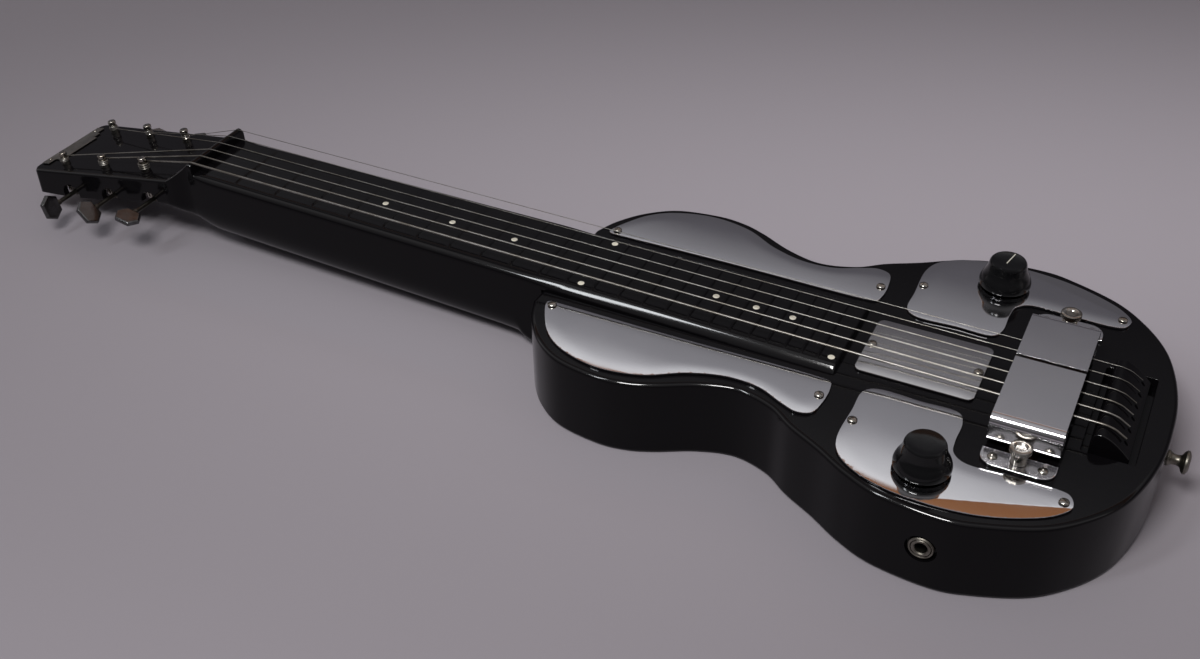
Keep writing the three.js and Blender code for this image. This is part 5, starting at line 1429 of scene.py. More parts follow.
def head_tools():
    nut_end = -FIRST_POST + worm_offset + LUG_HALF_WIDTH + LUG_GAP
    tip_end = -HEAD_LENGTH + HEAD_WALL
    nut_half, tip_half = HEAD_HALF_WIDTH_NUT - HEAD_WALL, HEAD_HALF_WIDTH_TIP - HEAD_WALL
    hollow = slab([(tip_end, -tip_half), (nut_end, -nut_half), (nut_end, nut_half), (tip_end, tip_half)],
                  -NECK_DEPTH_NUT, -HEAD_TOP_WALL)
    tools = [hollow]
    reach = HEAD_HALF_WIDTH_TIP + OVERRUN
    for row in range(TUNER_COUNT):
        notch = rod(KEY_NOTCH_RADIUS, -reach, reach, TURN_SIDES)
        x = post_place(FAR, row)[0] + worm_offset
        tools.append(shifted(moved(notch, TO_Y), x, 0, -WORM_DEPTH))
    for side, row in tuner_seats():
        x, y = post_place(side, row)
        tools.append(shifted(rod(POST_RADIUS + SEAT_GAP, -HEAD_TOP_WALL - OVERRUN, OVERRUN), x, y))
    return [moved(tool, HEAD_IN_NECK) for tool in tools]


def string_groove(index):
    return tube(string_path(index), string_radius(index) + SEAT_GAP, GROOVE_SIDES)


def make_neck():
    blank = loft([neck_ring(x) for x in neck_stations()])
    into_neck = NECK_IN_BODY.inverted()
    tools = head_tools() + [moved(string_groove(i), into_neck) for i in range(STRING_COUNT)]
    piece("moulded_neck", blank, NECK, BOARD_PHENOLIC, "root", ["neck"], tools)
    piece("board_tongue", tongue(), NECK, BOARD_PHENOLIC, "root")
    piece("neck_tenon", tenon(), NECK, BOARD_PHENOLIC, "root", bevel=TENON_EDGE)
    dot = lathe([(r * DOT_RADIUS, h * DOT_DEPTH) for r, h in DOT_PROFILE_SHARES], SMALL_TURN_SIDES)
    for i, (x, y) in enumerate(DOT_PLACES):
        piece(f"board_dot_{i + 1}", shifted(dot, x, y), NECK, PEARL, "root")


# Plates and screws
def plate_slab(outline):
    """Flat blank of a cover, with the rim already rolled."""
    foot_inset, foot_rise = PLATE_FOOT_EDGE
    levels = [(foot_inset, plate_foot), (0, plate_foot + foot_rise), (0, plate_top - PLATE_SOFT_EDGE)]
    levels += [(inward, plate_top - down) for inward, down in PLATE_RIM_STEPS]
    return stepped(outline, levels)


def gridded(data, step, creases=()):
    """The same solid, its faces cut along a square grid and its creases, so that it can be bent."""
    work = bmesh.new()
    points, faces = data
    corners = [work.verts.new(point) for point in points]
    for face in faces:
        work.faces.new([corners[i] for i in face])
    for axis in (0, 1):
        low, high = min(p[axis] for p in points), max(p[axis] for p in points)
        normal = Vector((1 - axis, axis, 0))
        for i in range(1, math.ceil((high - low) / step)):
            cut_across(work, normal * (low + i * step), normal)
    for point, normal in creases:
        cut_across(work, point, normal)
    work.verts.index_update()
    cut_points = [tuple(v.co) for v in work.verts]
    cut_faces = [tuple(v.index for v in face.verts) for face in work.faces]
    work.free()
    return cut_points, cut_faces


def cut_across(work, point, normal):
    everything = [*work.verts, *work.edges, *work.faces]
    bmesh.ops.bisect_plane(work, geom=everything, plane_co=point, plane_no=normal)


def crowned(data, outline, droop):
    """Lower the upper face toward its rim, and further where the sheet has been bent down."""
    rim = [Vector((*point, 0)) for point in dense(outline, RIM_STEP)]
    tree = KDTree(len(rim))
    for i, point in enumerate(rim):
        tree.insert(point, i)
    tree.balance()
    points, faces = data
    lowered = []
    for x, y, z in points:
        if z > plate_top - PLATE_BENT_DEPTH:
            distance = tree.find(Vector((x, y, 0)))[2]
            near_rim = max(0, 1 - distance / CROWN_REACH)
            z -= CROWN_DEPTH * near_rim**CROWN_POWER + droop(x, y)
        lowered.append((x, y, z))
    return lowered, faces


def dense(outline, step):
    points = []
    for start, end in zip(outline, outline[1:] + outline[:1]):
        count = max(1, math.ceil(math.dist(start, end) / step))
        for i in range(count):
            points.append(tuple(a + (b - a) * i / count for a, b in zip(start, end)))
    return points


def bow(outline):
    """A sheet is bowed a little across its width, lowest at its two long rims."""
    low, high = min(y for x, y in outline), max(y for x, y in outline)
    middle, half = (low + high) / 2, (high - low) / 2

    def droop(x, y):
        return BOW_SLOPE * (y - middle) ** 2 / (2 * half)

    return droop


def horn_line(side):
    start, end = (Vector(body_place(share, side)) for share in HORN_LINE_SHARES)
    along = (end - start).normalized()
    return start, Vector((-along.y, along.x)) * side


def horn_bow(outline, side):
    """A lower plate has also been bent down at the outer edge of its tail horn."""
    start, outside = horn_line(side)
    bowed = bow(outline)

    def droop(x, y):
        beyond = max(0, (Vector((x, y)) - start).dot(outside))
        rounded = min(beyond, HORN_BEND_RADIUS)
        return bowed(x, y) + HORN_SLOPE * (rounded**2 / (2 * HORN_BEND_RADIUS) + beyond - rounded)

    return droop


def horn_creases(side):
    start, outside = horn_line(side)
    places = [start + outside * HORN_BEND_RADIUS * share for share in HORN_CREASE_SHARES]
    return [(place.to_3d(), outside.to_3d()) for place in places]


def make_plates():
    places = plate_screw_places()
    foot, top = plate_foot - OVERRUN, plate_top + OVERRUN
    for side, word in ((NEAR, "near"), (FAR, "far")):
        for group, shares in (("upper", UPPER_PLATE_SHARES), ("lower", LOWER_PLATE_SHARES)):
            holes = screw_tools([spot for spot in places[group] if spot[1] * side > 0], foot, top)
            if group == "lower":
                knob = body_place(KNOB_PLACE_SHARES, side)
                holes.append(shifted(rod(BUSHING_RADIUS + SEAT_GAP, foot, top), *knob))
            outline = plate_outline(shares, side)
            droop = horn_bow(outline, side) if group == "lower" else bow(outline)
            creases = horn_creases(side) if group == "lower" else ()
            sheet = crowned(gridded(plate_slab(outline), GRID_STEP, creases), outline, droop)
            piece(f"chromed_{group}_{word}", sheet, BODY, CHROME, "root", [f"{group}_plate_{word}"], holes)
    holes = screw_tools(places["center"], foot, top)
    outline = center_plate_outline()
    sheet = crowned(gridded(plate_slab(outline), GRID_STEP), outline, bow(outline))
    piece("chromed_center", sheet, BODY, SCUFFED_CHROME, "root", ["center_plate"], holes)
    for group, spots in places.items():
        for i, (x, y) in enumerate(spots):
            name = f"{group}_plate_screw_{i + 1}"
            seat = BODY @ Matrix.Translation((x, y, plate_top + SEAT_GAP))
            make_screw(f"slotted_{name}", seat, SCREW_LENGTH, FIRST_SCREW_TURN + NEXT_SCREW_TURN * i, [name])


def screw_shape(shank):
    dome = [(SCREW_HEAD_RADIUS * math.cos(a), SCREW_HEAD_HEIGHT * math.sin(a) ** SCREW_DOME_POWER)
            for a in quarter_angles(SCREW_DOME_STEPS)[1:-1]]
    return lathe([(0, -shank), (SCREW_SHANK_RADIUS, -shank + SCREW_SHANK_RADIUS), (SCREW_SHANK_RADIUS, 0),
                  (SCREW_HEAD_RADIUS, 0), *dome, (0, SCREW_HEAD_HEIGHT)], SMALL_TURN_SIDES)


def make_screw(name, seat, shank, turn, nodes=()):
    """A slotted screw with its head on the seat, turned as it was left."""
    reach = SCREW_HEAD_RADIUS * SCREW_SLOT_REACH_SHARE
    slot = block(-reach, reach, -SCREW_SLOT_HALF_WIDTH, SCREW_SLOT_HALF_WIDTH,
                 SCREW_HEAD_HEIGHT * SCREW_SLOT_FLOOR_SHARE, SCREW_HEAD_HEIGHT + FINE_OVERRUN)
    matrix = seat @ Matrix.Rotation(turn, 4, "Z")
    return piece(name, screw_shape(shank), matrix, NICKEL, "root", nodes, [slot])


# Pickup
def magnet_outline(side):
    bend_y = (magnet_reach if side == NEAR else far_magnet_reach) - MAGNET_BEND
    inside = MAGNET_BEND - MAGNET_THICKNESS

    def bend(radius, height, start):
        return [(bend_y + radius * math.cos(start - a), height + radius * math.sin(start - a))
                for a in quarter_angles(MAGNET_BEND_STEPS)]

    upper, lower = MAGNET_TOP - MAGNET_BEND, MAGNET_FOOT + MAGNET_BEND
    outer = [(MAGNET_SPLIT / 2, MAGNET_TOP), *bend(MAGNET_BEND, upper, math.pi / 2),
             *bend(MAGNET_BEND, lower, 0), (MAGNET_ARM_END, MAGNET_FOOT)]
    inner = [(MAGNET_SPLIT / 2, MAGNET_TOP - MAGNET_THICKNESS), *bend(inside, upper, math.pi / 2),
             *bend(inside, lower, 0), (MAGNET_ARM_END, MAGNET_FOOT + MAGNET_THICKNESS)]
    return [(side * y, z) for y, z in outer + inner[::-1]]


def make_magnets():
    for side, word in ((NEAR, "near"), (FAR, "far")):
        ring = magnet_outline(side)
        ends = [[(x, y, z) for y, z in ring] for x in (-MAGNET_LENGTH / 2, MAGNET_LENGTH / 2)]
        piece(f"chromed_magnet_{word}", loft(ends), PICKUP, MAGNET_CHROME, "pickup",
              [f"pickup_magnet_{word}"], bevel=MAGNET_EDGE, sharp=MAGNET_SHARP_DEG)


def ear_outline(side):
    half = EAR_HALF_LENGTH_SHARE * BODY_LENGTH
    inner, outer = (share * BODY_HALF_WIDTH for share in EAR_SPAN_SHARES)
    corner = [(half - EAR_CORNER + EAR_CORNER * math.sin(a), outer - EAR_CORNER + EAR_CORNER * math.cos(a))
              for a in quarter_angles(EAR_CORNER_STEPS)]
    right = corner + [(half, inner)]
    return sided([(-x, y) for x, y in right][::-1] + right, side)


def make_ears():
    for side, word in ((NEAR, "near"), (FAR, "far")):
        foot, top = SEAT_GAP, SEAT_GAP + EAR_THICKNESS
        hole = shifted(rod(THUMB_SHAFT_RADIUS + SEAT_GAP, foot - OVERRUN, top + OVERRUN), 0, side * thumb_y)
        blank = slab(ear_outline(side), foot, top, EAR_EDGE, EAR_FOOT_EDGE)
        piece(f"chromed_ear_{word}", blank, PICKUP, MAGNET_CHROME, "root", [f"pickup_ear_{word}"], [hole])
        for i, x in enumerate((-EAR_SCREW_SPREAD, EAR_SCREW_SPREAD)):
            seat = PICKUP @ Matrix.Translation((x, side * EAR_SCREW_SIDE, top))
            turn = FIRST_EAR_SCREW_TURN + i * NEXT_EAR_SCREW_TURN + side
            make_screw(f"ear_screw_{word}_{i + 1}", seat, EAR_THICKNESS, turn)


def make_thumbscrews():
    seat = 2 * SEAT_GAP + EAR_THICKNESS
    foot = -pickup_pocket_depth + THUMB_SHAFT_CLEARANCE
    disc = THUMB_TOP - THUMB_DISC
    waist = THUMB_COLLAR_RADIUS - THUMB_WAIST_DEPTH
    dish_floor = THUMB_TOP - THUMB_DISH_DEPTH
    rim_inward, rim_down = (share * THUMB_RIM for share in THUMB_RIM_SHARES)
    profile = [
        (0, foot), (THUMB_SHAFT_RADIUS, foot + THUMB_SHAFT_RADIUS / 2), (THUMB_SHAFT_RADIUS, seat),
        (THUMB_COLLAR_RADIUS - THUMB_COLLAR_BEVEL, seat), (THUMB_COLLAR_RADIUS, seat + THUMB_COLLAR_BEVEL),
        (THUMB_COLLAR_RADIUS, disc - THUMB_WAIST_HEIGHT), (waist, disc - THUMB_WAIST_HEIGHT / 2),
        (waist, disc), (THUMB_RADIUS - THUMB_RIM, disc), (THUMB_RADIUS, disc + THUMB_FOOT_RIM),
        (THUMB_RADIUS, THUMB_TOP - THUMB_RIM), (THUMB_RADIUS - rim_inward, THUMB_TOP - rim_down),
        (THUMB_RADIUS - THUMB_RIM, THUMB_TOP), (THUMB_DISH_RADIUS + THUMB_DISH_LIP, THUMB_TOP),
        (THUMB_DISH_RADIUS, THUMB_TOP - THUMB_DISH_LIP / 2),
        (THUMB_DISH_RADIUS - 2 * THUMB_DISH_LIP, dish_floor), (0, dish_floor),
    ]
    turned = lathe(profile, THUMB_TEETH * SIDES_PER_TOOTH, knurl)
    for side, word in ((NEAR, "near"), (FAR, "far")):
        shape = shifted(turned, 0, side * thumb_y)
        name = f"thumbscrew_{word}"
        piece(f"knurled_{name}", shape, PICKUP, NICKEL, name, [name])


def knurl(radius, angle):
    """Fine teeth round the disc's rim; whatever is narrower stays round."""
    if radius < THUMB_RADIUS:
        return radius
    return radius - THUMB_TOOTH_DEPTH * (1 + math.cos(angle * THUMB_TEETH)) / 2


# Controls
def knob_profile():
    foot = knob_top - KNOB_HEIGHT
    ceiling = knob_top - KNOB_CAP
    hollow = foot + KNOB_HOLLOW_HEIGHT
    bore = SHAFT_RADIUS + SEAT_GAP
    outside = turned_profile(KNOB_PROFILE_SHARES, KNOB_FLANGE_RADIUS, foot, KNOB_HEIGHT, KNOB_STEPS)
    rim = outside[-1][0]
    dish = [(rim * inward, knob_top - KNOB_DISH_DEPTH * down) for inward, down in KNOB_DISH_SHARES]
    inside = [(0, ceiling), (bore, ceiling), (bore, hollow), (KNOB_HOLLOW_RADIUS, hollow),
              (KNOB_HOLLOW_RADIUS, foot)]
    return inside + outside + dish


def knob_frame(side):
    return BODY @ Matrix.Translation((*body_place(KNOB_PLACE_SHARES, side), BODY_DEPTH))


def make_knobs():
    shape = lathe(knob_profile())
    for side, word in ((NEAR, "volume"), (FAR, "tone")):
        piece(f"turned_{word}_knob", shape, knob_frame(side), KNOB_PLASTIC, f"{word}_control",
              [f"{word}_knob"])
    line = block(-POINTER_HALF_WIDTH, POINTER_HALF_WIDTH, -POINTER_TAIL, POINTER_REACH,
                 knob_top - POINTER_DEPTH, knob_top - POINTER_SINK)
    matrix = knob_frame(FAR) @ Matrix.Rotation(-math.radians(POINTER_TURN_DEG), 4, "Z")
    made = piece("tone_pointer_line", line, matrix, WHITE_PAINT, "tone_control", bevel=POINTER_EDGE)


def make_jack():
    wall = near_wall(jack_x())
    sleeve = wall + SEAT_GAP
    barrel = jack_cavity_y() + SEAT_GAP
    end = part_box("output_jack")[1].y / MM
    bore_end = end - JACK_BORE_STOP
    shape = lathe([
        (0, end), (JACK_BARREL_RADIUS, end), (JACK_BARREL_RADIUS, barrel), (JACK_SLEEVE_RADIUS, barrel),
        (JACK_SLEEVE_RADIUS, sleeve + JACK_SLEEVE_EDGE), (JACK_SLEEVE_RADIUS - JACK_SLEEVE_EDGE, sleeve),
        (JACK_BORE_RADIUS + JACK_BORE_LIP, sleeve), (JACK_BORE_RADIUS, sleeve + JACK_BORE_LIP),
        (JACK_BORE_RADIUS, bore_end), (0, bore_end),
    ])
    piece("jack_sleeve", on_jack_axis(shape), BODY, TARNISHED, "root", ["output_jack"])
    floor = wall + JACK_RECESS_DEPTH - SEAT_GAP
    face = floor - JACK_NUT_THICKNESS
    bore = JACK_SLEEVE_RADIUS + SEAT_GAP
    lip, lip_depth = JACK_NUT_BORE_EDGE
    ring = ring_lathe([
        (bore, face + lip_depth), (bore + lip, face), (JACK_NUT_RADIUS - JACK_NUT_EDGE, face),
        (JACK_NUT_RADIUS, face + JACK_NUT_EDGE), (JACK_NUT_RADIUS, floor), (bore, floor),
    ])
    piece("jack_ring", on_jack_axis(ring), BODY, TARNISHED, "root", ["jack_nut"])


def make_end_pin():
    foot = SEAT_GAP
    outside = turned_profile(PIN_PROFILE_SHARES, PIN_HEAD_RADIUS, foot, PIN_LENGTH - foot, PROFILE_STEPS)
    shape = lathe([(0, -PIN_SCREW_LENGTH), (PIN_SCREW_RADIUS, -PIN_SCREW_LENGTH + PIN_SCREW_RADIUS),
                   (PIN_SCREW_RADIUS, foot), *outside, (0, PIN_LENGTH)])
    shape = shifted(moved(shape, TO_X), body_tail, 0, PIN_HEIGHT)
    piece("turned_end_pin", shape, BODY, TARNISHED, "root", ["end_pin"])


# Bridge and strings
def make_bridge():
    foot = BODY_DEPTH - BRIDGE_POCKET_DEPTH + SEAT_GAP
    crest = BODY_DEPTH + BRIDGE_HEIGHT
    shares = spline(BRIDGE_TOP_SHARES, PROFILE_STEPS)
    top = [(bridge_front + a * BRIDGE_LENGTH, BODY_DEPTH + min(h, 1) * BRIDGE_HEIGHT) for a, h in shares]
    half = BRIDGE_HALF_WIDTH
    outline = [*top, (bridge_front + BRIDGE_LENGTH, foot), (bridge_front, foot)]
    flat = slab([(x, -z) for x, z in outline], -half, half, BRIDGE_EDGE, BRIDGE_EDGE)
    shape = moved(flat, Matrix.Rotation(math.pi / 2, 4, "X") @ Matrix.Scale(-1, 4, (0, 1, 0)))
    holes = []
    hole = rod(STRING_HOLE_RADIUS, foot + STRING_HOLE_FLOOR, crest + FINE_OVERRUN, STRING_HOLE_SIDES)
    for index in range(STRING_COUNT):
        x, y = string_path(index)[0][:2]
        holes += [shifted(hole, x + STRING_HOLE_OFFSET, y), string_groove(index)]
    piece("moulded_bridge", shape, BODY, PHENOLIC, "root", ["bridge"], holes)


def string_radius(index):
    return HEAVIEST_STRING * STRING_GAUGE_SHARES[index] / 2


def string_tuner(index):
    side = NEAR if index < TUNER_COUNT else FAR
    return side, index if side == NEAR else STRING_COUNT - 1 - index


def string_path(index):
    """Stations of a string in the body's frame, from its hole to its post."""
    radius = string_radius(index)
    row = index - (STRING_COUNT - 1) / 2
    bridge_y = row * BRIDGE_STRING_PITCH
    crest = BODY_DEPTH + BRIDGE_HEIGHT + SEAT_GAP + radius
    side, order = string_tuner(index)
    x, y = post_place(side, order)
    inward = POST_WAIST_RADIUS + SEAT_GAP + radius
    nut = NECK_IN_BODY @ Vector((0, row * NUT_STRING_PITCH, NUT_HEIGHT))
    post = NECK_IN_BODY @ HEAD_IN_NECK @ Vector((x, y - side * inward, POST_STRING_HEIGHT))
    return [
        (crest_x + STRING_TAIL, bridge_y, crest - STRING_TAIL_DROP),
        (crest_x + STRING_BACK, bridge_y, crest - STRING_BACK_DROP),
        (crest_x, bridge_y, crest), tuple(nut), tuple(post),
    ]


def make_strings():
    for index in range(STRING_COUNT):
        shape = tube(softened(string_path(index)), string_radius(index), STRING_SIDES)
        material = WOUND_WIRE if index < TUNER_COUNT else PLAIN_WIRE
        piece(f"drawn_string_{index + 1}", shape, BODY, material, "root", [f"string_{index + 1}"])
        make_wrap(index, material)


def softened(path):
    """The path with each inner corner rounded."""
    path = [Vector(p) for p in path]
    soft = [path[0]]
    for before, corner, after in zip(path, path[1:], path[2:]):
        back = corner + (before - corner).normalized() * STRING_BEND_REACH
        ahead = corner + (after - corner).normalized() * STRING_BEND_REACH
        for i in range(STRING_BEND_STEPS + 1):
            t = i / STRING_BEND_STEPS
            soft.append(back * (1 - t) ** 2 + corner * 2 * t * (1 - t) + ahead * t**2)
    return soft + [path[-1]]


def make_wrap(index, material):
    """Turns of the string round its post, a little looser in the middle."""
    side, row = string_tuner(index)
    x, y = post_place(side, row)
    radius = string_radius(index)
    turns = HEAVY_WRAP_TURNS if index < TUNER_COUNT else LIGHT_WRAP_TURNS
    pitch = 2 * radius * WRAP_PITCH_SHARE
    path = []
    for i in range(turns * WRAP_STEPS + 1):
        turned = i / WRAP_STEPS
        angle = 2 * math.pi * turned - math.pi / 2 * side
        reach = POST_WAIST_RADIUS + radius + WRAP_SWELL * math.sin(math.pi * turned / turns)
        height = max(POST_STRING_HEIGHT + pitch * (0.5 - turned), radius + WRAP_CLEARANCE)
        path.append((x + reach * math.cos(angle), y + reach * math.sin(angle), height))
    shape = tube(path, radius, WRAP_SIDES)
    piece(f"string_wrap_{index + 1}", shape, HEAD, material, f"post_{index + 1}")


# Tuners and nameplate
def gear():
    outline = []
    for i in range(GEAR_TEETH):
        for share, reach in GEAR_TOOTH_SHARES:
            angle = 2 * math.pi * (i + share) / GEAR_TEETH
            radius = GEAR_RADIUS - GEAR_TOOTH * (1 - reach)
            outline.append((radius * math.cos(angle), radius * math.sin(angle)))
    return slab(outline, -WORM_DEPTH - GEAR_THICKNESS / 2, -WORM_DEPTH + GEAR_THICKNESS / 2)


def make_posts():
    shoulder = -HEAD_TOP_WALL - SEAT_GAP - TUNER_PLATE_THICKNESS - SEAT_GAP
    outside = turned_profile(POST_PROFILE_SHARES, POST_RADIUS, 0, POST_HEIGHT, PROFILE_STEPS)
    post = lathe([(0, -WORM_DEPTH), (POST_COLLAR_RADIUS, -WORM_DEPTH), (POST_COLLAR_RADIUS, shoulder),
                  (POST_RADIUS, shoulder), *outside, (0, POST_HEIGHT)], SMALL_TURN_SIDES)
    for index in range(STRING_COUNT):
        x, y = post_place(*string_tuner(index))
        matrix = HEAD @ Matrix.Translation((x, y, 0))
        piece(f"turned_post_{index + 1}", merged(post, gear()), matrix, NICKEL, f"post_{index + 1}",
              [f"tuner_post_{index + 1}"])


def key_shape(button_y):
    worm = lug_inner - SEAT_GAP
    button_foot = button_y - KEY_BUTTON_LENGTH / 2
    thread = []
    last = WORM_TURNS * WORM_STEPS
    for i in range(last + 1):
        groove = WORM_THREAD_DEPTH if i % WORM_STEPS in (0, WORM_STEPS - 1) else 0
        thread.append((WORM_RADIUS - groove, -worm + 2 * worm * i / last))
    socket = [(KEY_SHAFT_RADIUS + swell, button_foot + along) for swell, along in KEY_SOCKET_STEPS]
    stem = lathe([
        (0, -lug_outer), (KEY_SHAFT_RADIUS, -lug_outer), (KEY_SHAFT_RADIUS, -worm), *thread,
        (KEY_SHAFT_RADIUS, worm), *socket, (0, button_foot + KEY_STEM_END),
    ], SMALL_TURN_SIDES)
    half, end = KEY_BUTTON_WIDTH / 2, KEY_BUTTON_LENGTH / 2
    shoulder = half * KEY_BUTTON_END_SHARE
    outline = [(half, 0), (shoulder, end), (-shoulder, end), (-half, 0), (-shoulder, -end), (shoulder, -end)]
    face, bevel = KEY_BUTTON_THICKNESS / 2, KEY_BUTTON_BEVEL
    levels = [(bevel, -face), (0, -face + bevel), (0, face - bevel), (bevel, face)]
    return moved(stem, TO_Y), stepped([(x, button_y + y) for x, y in outline], levels)


def make_keys():
    for index in range(STRING_COUNT):
        side, row = string_tuner(index)
        x, y = post_place(side, row)
        turns = KEY_TURNS_NEAR_DEG if side == NEAR else KEY_TURNS_FAR_DEG
        roll = Matrix.Rotation(math.radians(turns[row]), 4, "Y")
        facing = Matrix.Rotation(0 if side == FAR else math.pi, 4, "Z")
        stem, button = key_shape(KEY_BUTTON_CENTER - abs(y))
        matrix = HEAD @ Matrix.Translation((x + worm_offset, y, -WORM_DEPTH)) @ facing @ roll
        key = f"key_{index + 1}"
        # The button takes the nickel darkened as painted shade.
        made = piece(f"tuner_button_{index + 1}", button, matrix, BUTTON_NICKEL_PAINTED_SHADE, key,
                     bevel=KEY_BUTTON_EDGE, sharp=KEY_BUTTON_SHARP_DEG)
        # The shaft takes the metal darkened as painted shade.
        piece(f"tuner_shaft_{index + 1}", stem, matrix, TUNER_METAL_PAINTED_SHADE, key, [f"tuner_{key}"])


def make_nameplate():
    tip = -HEAD_LENGTH + NAMEPLATE_TIP_MARGIN
    half = [(tip + along * NAMEPLATE_DEPTH, across * NAMEPLATE_HALF_WIDTH)
            for across, along in [(1, 0), *NAMEPLATE_STEP_SHARES]]
    seat = SEAT_GAP + NAMEPLATE_THICKNESS
    blank = slab(half + mirrored(half), SEAT_GAP, seat)
    piece("stepped_nameplate", blank, HEAD, NAMEPLATE_METAL, "root", ["nameplate"], bevel=NAMEPLATE_EDGE)
    dome = [(NAMEPLATE_PIN_RADIUS * math.cos(a), seat + NAMEPLATE_PIN_HEIGHT * math.sin(a))
            for a in quarter_angles(PIN_DOME_STEPS)[:-1]]
    foot = seat - NAMEPLATE_PIN_SINK
    pin = lathe([(0, foot), (NAMEPLATE_PIN_RADIUS, foot), *dome, (0, seat + NAMEPLATE_PIN_HEIGHT)],
                SMALL_TURN_SIDES)
    for side, word in ((NEAR, "near"), (FAR, "far")):
        spot = shifted(pin, tip + NAMEPLATE_PIN_INSET, side * NAMEPLATE_PIN_SIDE)
        piece(f"nameplate_pin_{word}", spot, HEAD, NICKEL, "root")


# Pieces that keep their plain shape get their finish here
def finish_kept_nodes():
    finishes = {
        STEEL: ["neck_screw_front", "neck_screw_rear", "pole_bar", "volume_pot", "tone_pot", "volume_shaft",
                "tone_shaft"],
        # The tuner plates take the metal darkened as painted shade.
        TUNER_METAL_PAINTED_SHADE: ["tuner_plate_near", "tuner_plate_far"],
        BOARD_STUFF: ["pickup_bobbin"],
        COIL_STUFF: ["pickup_winding"],
        PAPER_STUFF: ["tone_capacitor"],
    }
    for material, names in finishes.items():
        for name in names:
            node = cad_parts[name]
            node.data.materials.clear()
            node.data.materials.append(material)


# Stage: a floor whose colour carries a painted pool of light
FLOOR_REACH = 4.0
# Floor colours inside and outside a painted pool of light, then that pool's place, turn and size
FLOOR_PAINTED_LIGHT = (0.467, 0.432, 0.475)
FLOOR_PAINTED_SHADE = (0.245, 0.2265, 0.249)
FLOOR_ROUGHNESS = 0.55
FLOOR_IOR = 1.3
FLOOR_GRAIN_SCALE = 900.0
FLOOR_RELIEF = 0.00004
PAINTED_LIGHT_POOL_PLACE = (0.499, 0.368, 0)
PAINTED_LIGHT_POOL_TURN = (0, 0, 0.365)
PAINTED_LIGHT_POOL_SIZE = (1.291, 0.499, 1)


def make_floor():
    side = (-FLOOR_REACH, FLOOR_REACH)
    corners = [(x, y, 0) for y in side for x in side]
    mesh = bpy.data.meshes.new("paper_floor")
    mesh.from_pydata(corners, [], [(0, 1, 3, 2)])
    floor = bpy.data.objects.new("paper_floor", mesh)
    bpy.context.scene.collection.objects.link(floor)
    material, tree, shader = new_material("lilac paper with painted light pool")
    place = tree.nodes.new("ShaderNodeTexCoord").outputs["Object"]
    patch = tree.nodes.new("ShaderNodeMapping")
    patch.vector_type = "TEXTURE"
    patch.inputs["Location"].default_value = PAINTED_LIGHT_POOL_PLACE
    patch.inputs["Rotation"].default_value = PAINTED_LIGHT_POOL_TURN
    patch.inputs["Scale"].default_value = PAINTED_LIGHT_POOL_SIZE
    tree.links.new(place, patch.inputs["Vector"])
    outward_reach = tree.nodes.new("ShaderNodeVectorMath")
    outward_reach.operation = "LENGTH"
    tree.links.new(patch.outputs["Vector"], outward_reach.inputs[0])
    fade = tree.nodes.new("ShaderNodeMapRange")
    fade.interpolation_type = "SMOOTHSTEP"
    tree.links.new(outward_reach.outputs["Value"], fade.inputs["Value"])
    # Painted light: the floor is paler inside the pool and darker outside it, standing in for how the lamp's
    # light falls off
    paper = blend_color(tree, fade.outputs["Result"], FLOOR_PAINTED_LIGHT, FLOOR_PAINTED_SHADE)
    tree.links.new(paper, shader.inputs["Base Color"])
    shader.inputs["Roughness"].default_value = FLOOR_ROUGHNESS
    shader.inputs["IOR"].default_value = FLOOR_IOR
    tree.links.new(grain_bump(tree, FLOOR_GRAIN_SCALE, FLOOR_RELIEF), shader.inputs["Normal"])
    mesh.materials.append(material)


def area_light(name, place, aim, size, power, color):
    data = bpy.data.lights.new(name, "AREA")
    data.shape = "RECTANGLE"
    data.size, data.size_y = size
    data.energy = power
    data.color = color
    light = bpy.data.objects.new(name, data)
    light.location = place
    light.rotation_euler = (Vector(aim) - Vector(place)).to_track_quat("-Z", "Y").to_euler()
    bpy.context.scene.collection.objects.link(light)


# Light of the room, from the far horizon over the zenith to the near one
ROOM_STOPS = [
    (0.0, (0.1, 0.095, 0.105)), (0.155, (0.1, 0.095, 0.105)), (0.189, (0.112, 0.107, 0.12)),
    (0.205, (0.24, 0.235, 0.25)), (0.228, (0.295, 0.29, 0.31)), (0.243, (0.64, 0.64, 0.66)),
    (0.262, (0.9, 0.9, 0.92)), (0.266, (0.24, 0.1, 0.042)), (0.31, (0.33, 0.15, 0.07)),
    (0.325, (0.25, 0.24, 0.25)), (0.5, (0.5, 0.49, 0.5)), (0.72, (0.2, 0.195, 0.2)),
    (1.0, (0.05, 0.048, 0.05)),
]
ROOM_STRENGTH = 1.0
LIGHT_AIM = (0, 0, 0)
LAMP_PLACE = (0.13, -0.68, 1.02)
LAMP_SIZE = (0.34, 0.24)
LAMP_POWER = 9
LAMP_COLOR = (1, 0.99, 0.98)
WINDOW_PLACE = (-0.68, -1.1, 1.68)
WINDOW_SIZE = (0.2, 0.8)
WINDOW_POWER = 7.6
WINDOW_COLOR = (0.94, 0.97, 1)


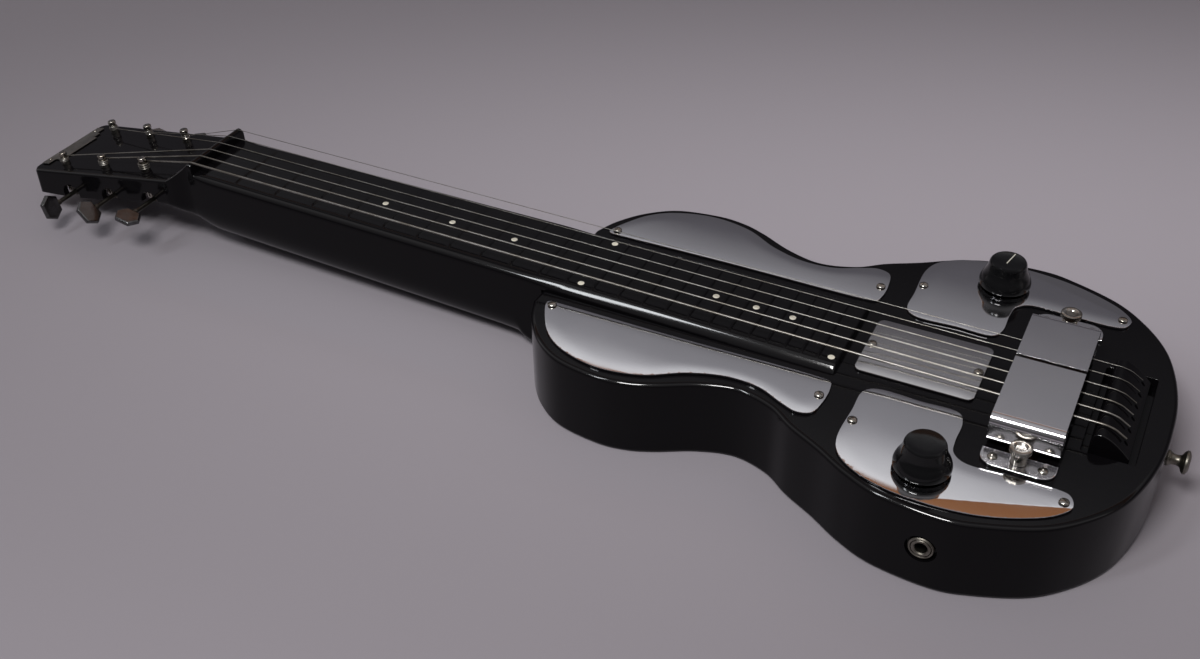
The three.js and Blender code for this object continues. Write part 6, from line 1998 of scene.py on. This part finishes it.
def make_lights():
    world = bpy.data.worlds.new("soft room")
    bpy.context.scene.world = world
    world.use_nodes = True
    tree = world.node_tree
    background = tree.nodes["Background"]
    place = tree.nodes.new("ShaderNodeTexCoord").outputs["Generated"]
    split = tree.nodes.new("ShaderNodeSeparateXYZ")
    tree.links.new(place, split.inputs[0])
    angle = math_node(tree, "ARCTAN2", split.outputs["Z"], split.outputs["Y"])
    share = math_node(tree, "DIVIDE", angle, math.pi)
    ramp = tree.nodes.new("ShaderNodeValToRGB")
    for i, (stop, color) in enumerate(ROOM_STOPS):
        entry = ramp.color_ramp.elements[i] if i < 2 else ramp.color_ramp.elements.new(stop)
        entry.position = stop
        entry.color = (*color, 1)
    tree.links.new(share, ramp.inputs[0])
    tree.links.new(ramp.outputs["Color"], background.inputs["Color"])
    background.inputs["Strength"].default_value = ROOM_STRENGTH
    area_light("lamp", LAMP_PLACE, LIGHT_AIM, LAMP_SIZE, LAMP_POWER, LAMP_COLOR)
    area_light("tall_window", WINDOW_PLACE, LIGHT_AIM, WINDOW_SIZE, WINDOW_POWER, WINDOW_COLOR)


# Camera at the photograph's place and angle, its place in millimetres from the nut's foot
CAMERA_PLACE = (577.638, -586.548, 506.644)
CAMERA_TURN_DEG = (52.7695, 0.8875, 26.4184)
CAMERA_LENS = 41.317
CAMERA_CLIP = 0.01


def make_camera():
    data = bpy.data.cameras.new("camera")
    data.lens = CAMERA_LENS
    data.clip_start = CAMERA_CLIP
    camera = bpy.data.objects.new("camera", data)
    turn = Euler([math.radians(angle) for angle in CAMERA_TURN_DEG]).to_matrix().to_4x4()
    camera.matrix_world = Matrix.Translation(BODY @ Vector(CAMERA_PLACE)) @ turn
    bpy.context.scene.collection.objects.link(camera)
    bpy.context.scene.camera = camera


make_camera()
make_body()
make_neck()
make_plates()
make_magnets()
make_ears()
make_thumbscrews()
make_knobs()
make_jack()
make_end_pin()
make_bridge()
make_strings()
make_posts()
make_keys()
make_nameplate()
finish_kept_nodes()
make_floor()
make_lights()
bpy.context.scene.view_settings.view_transform = "Standard"
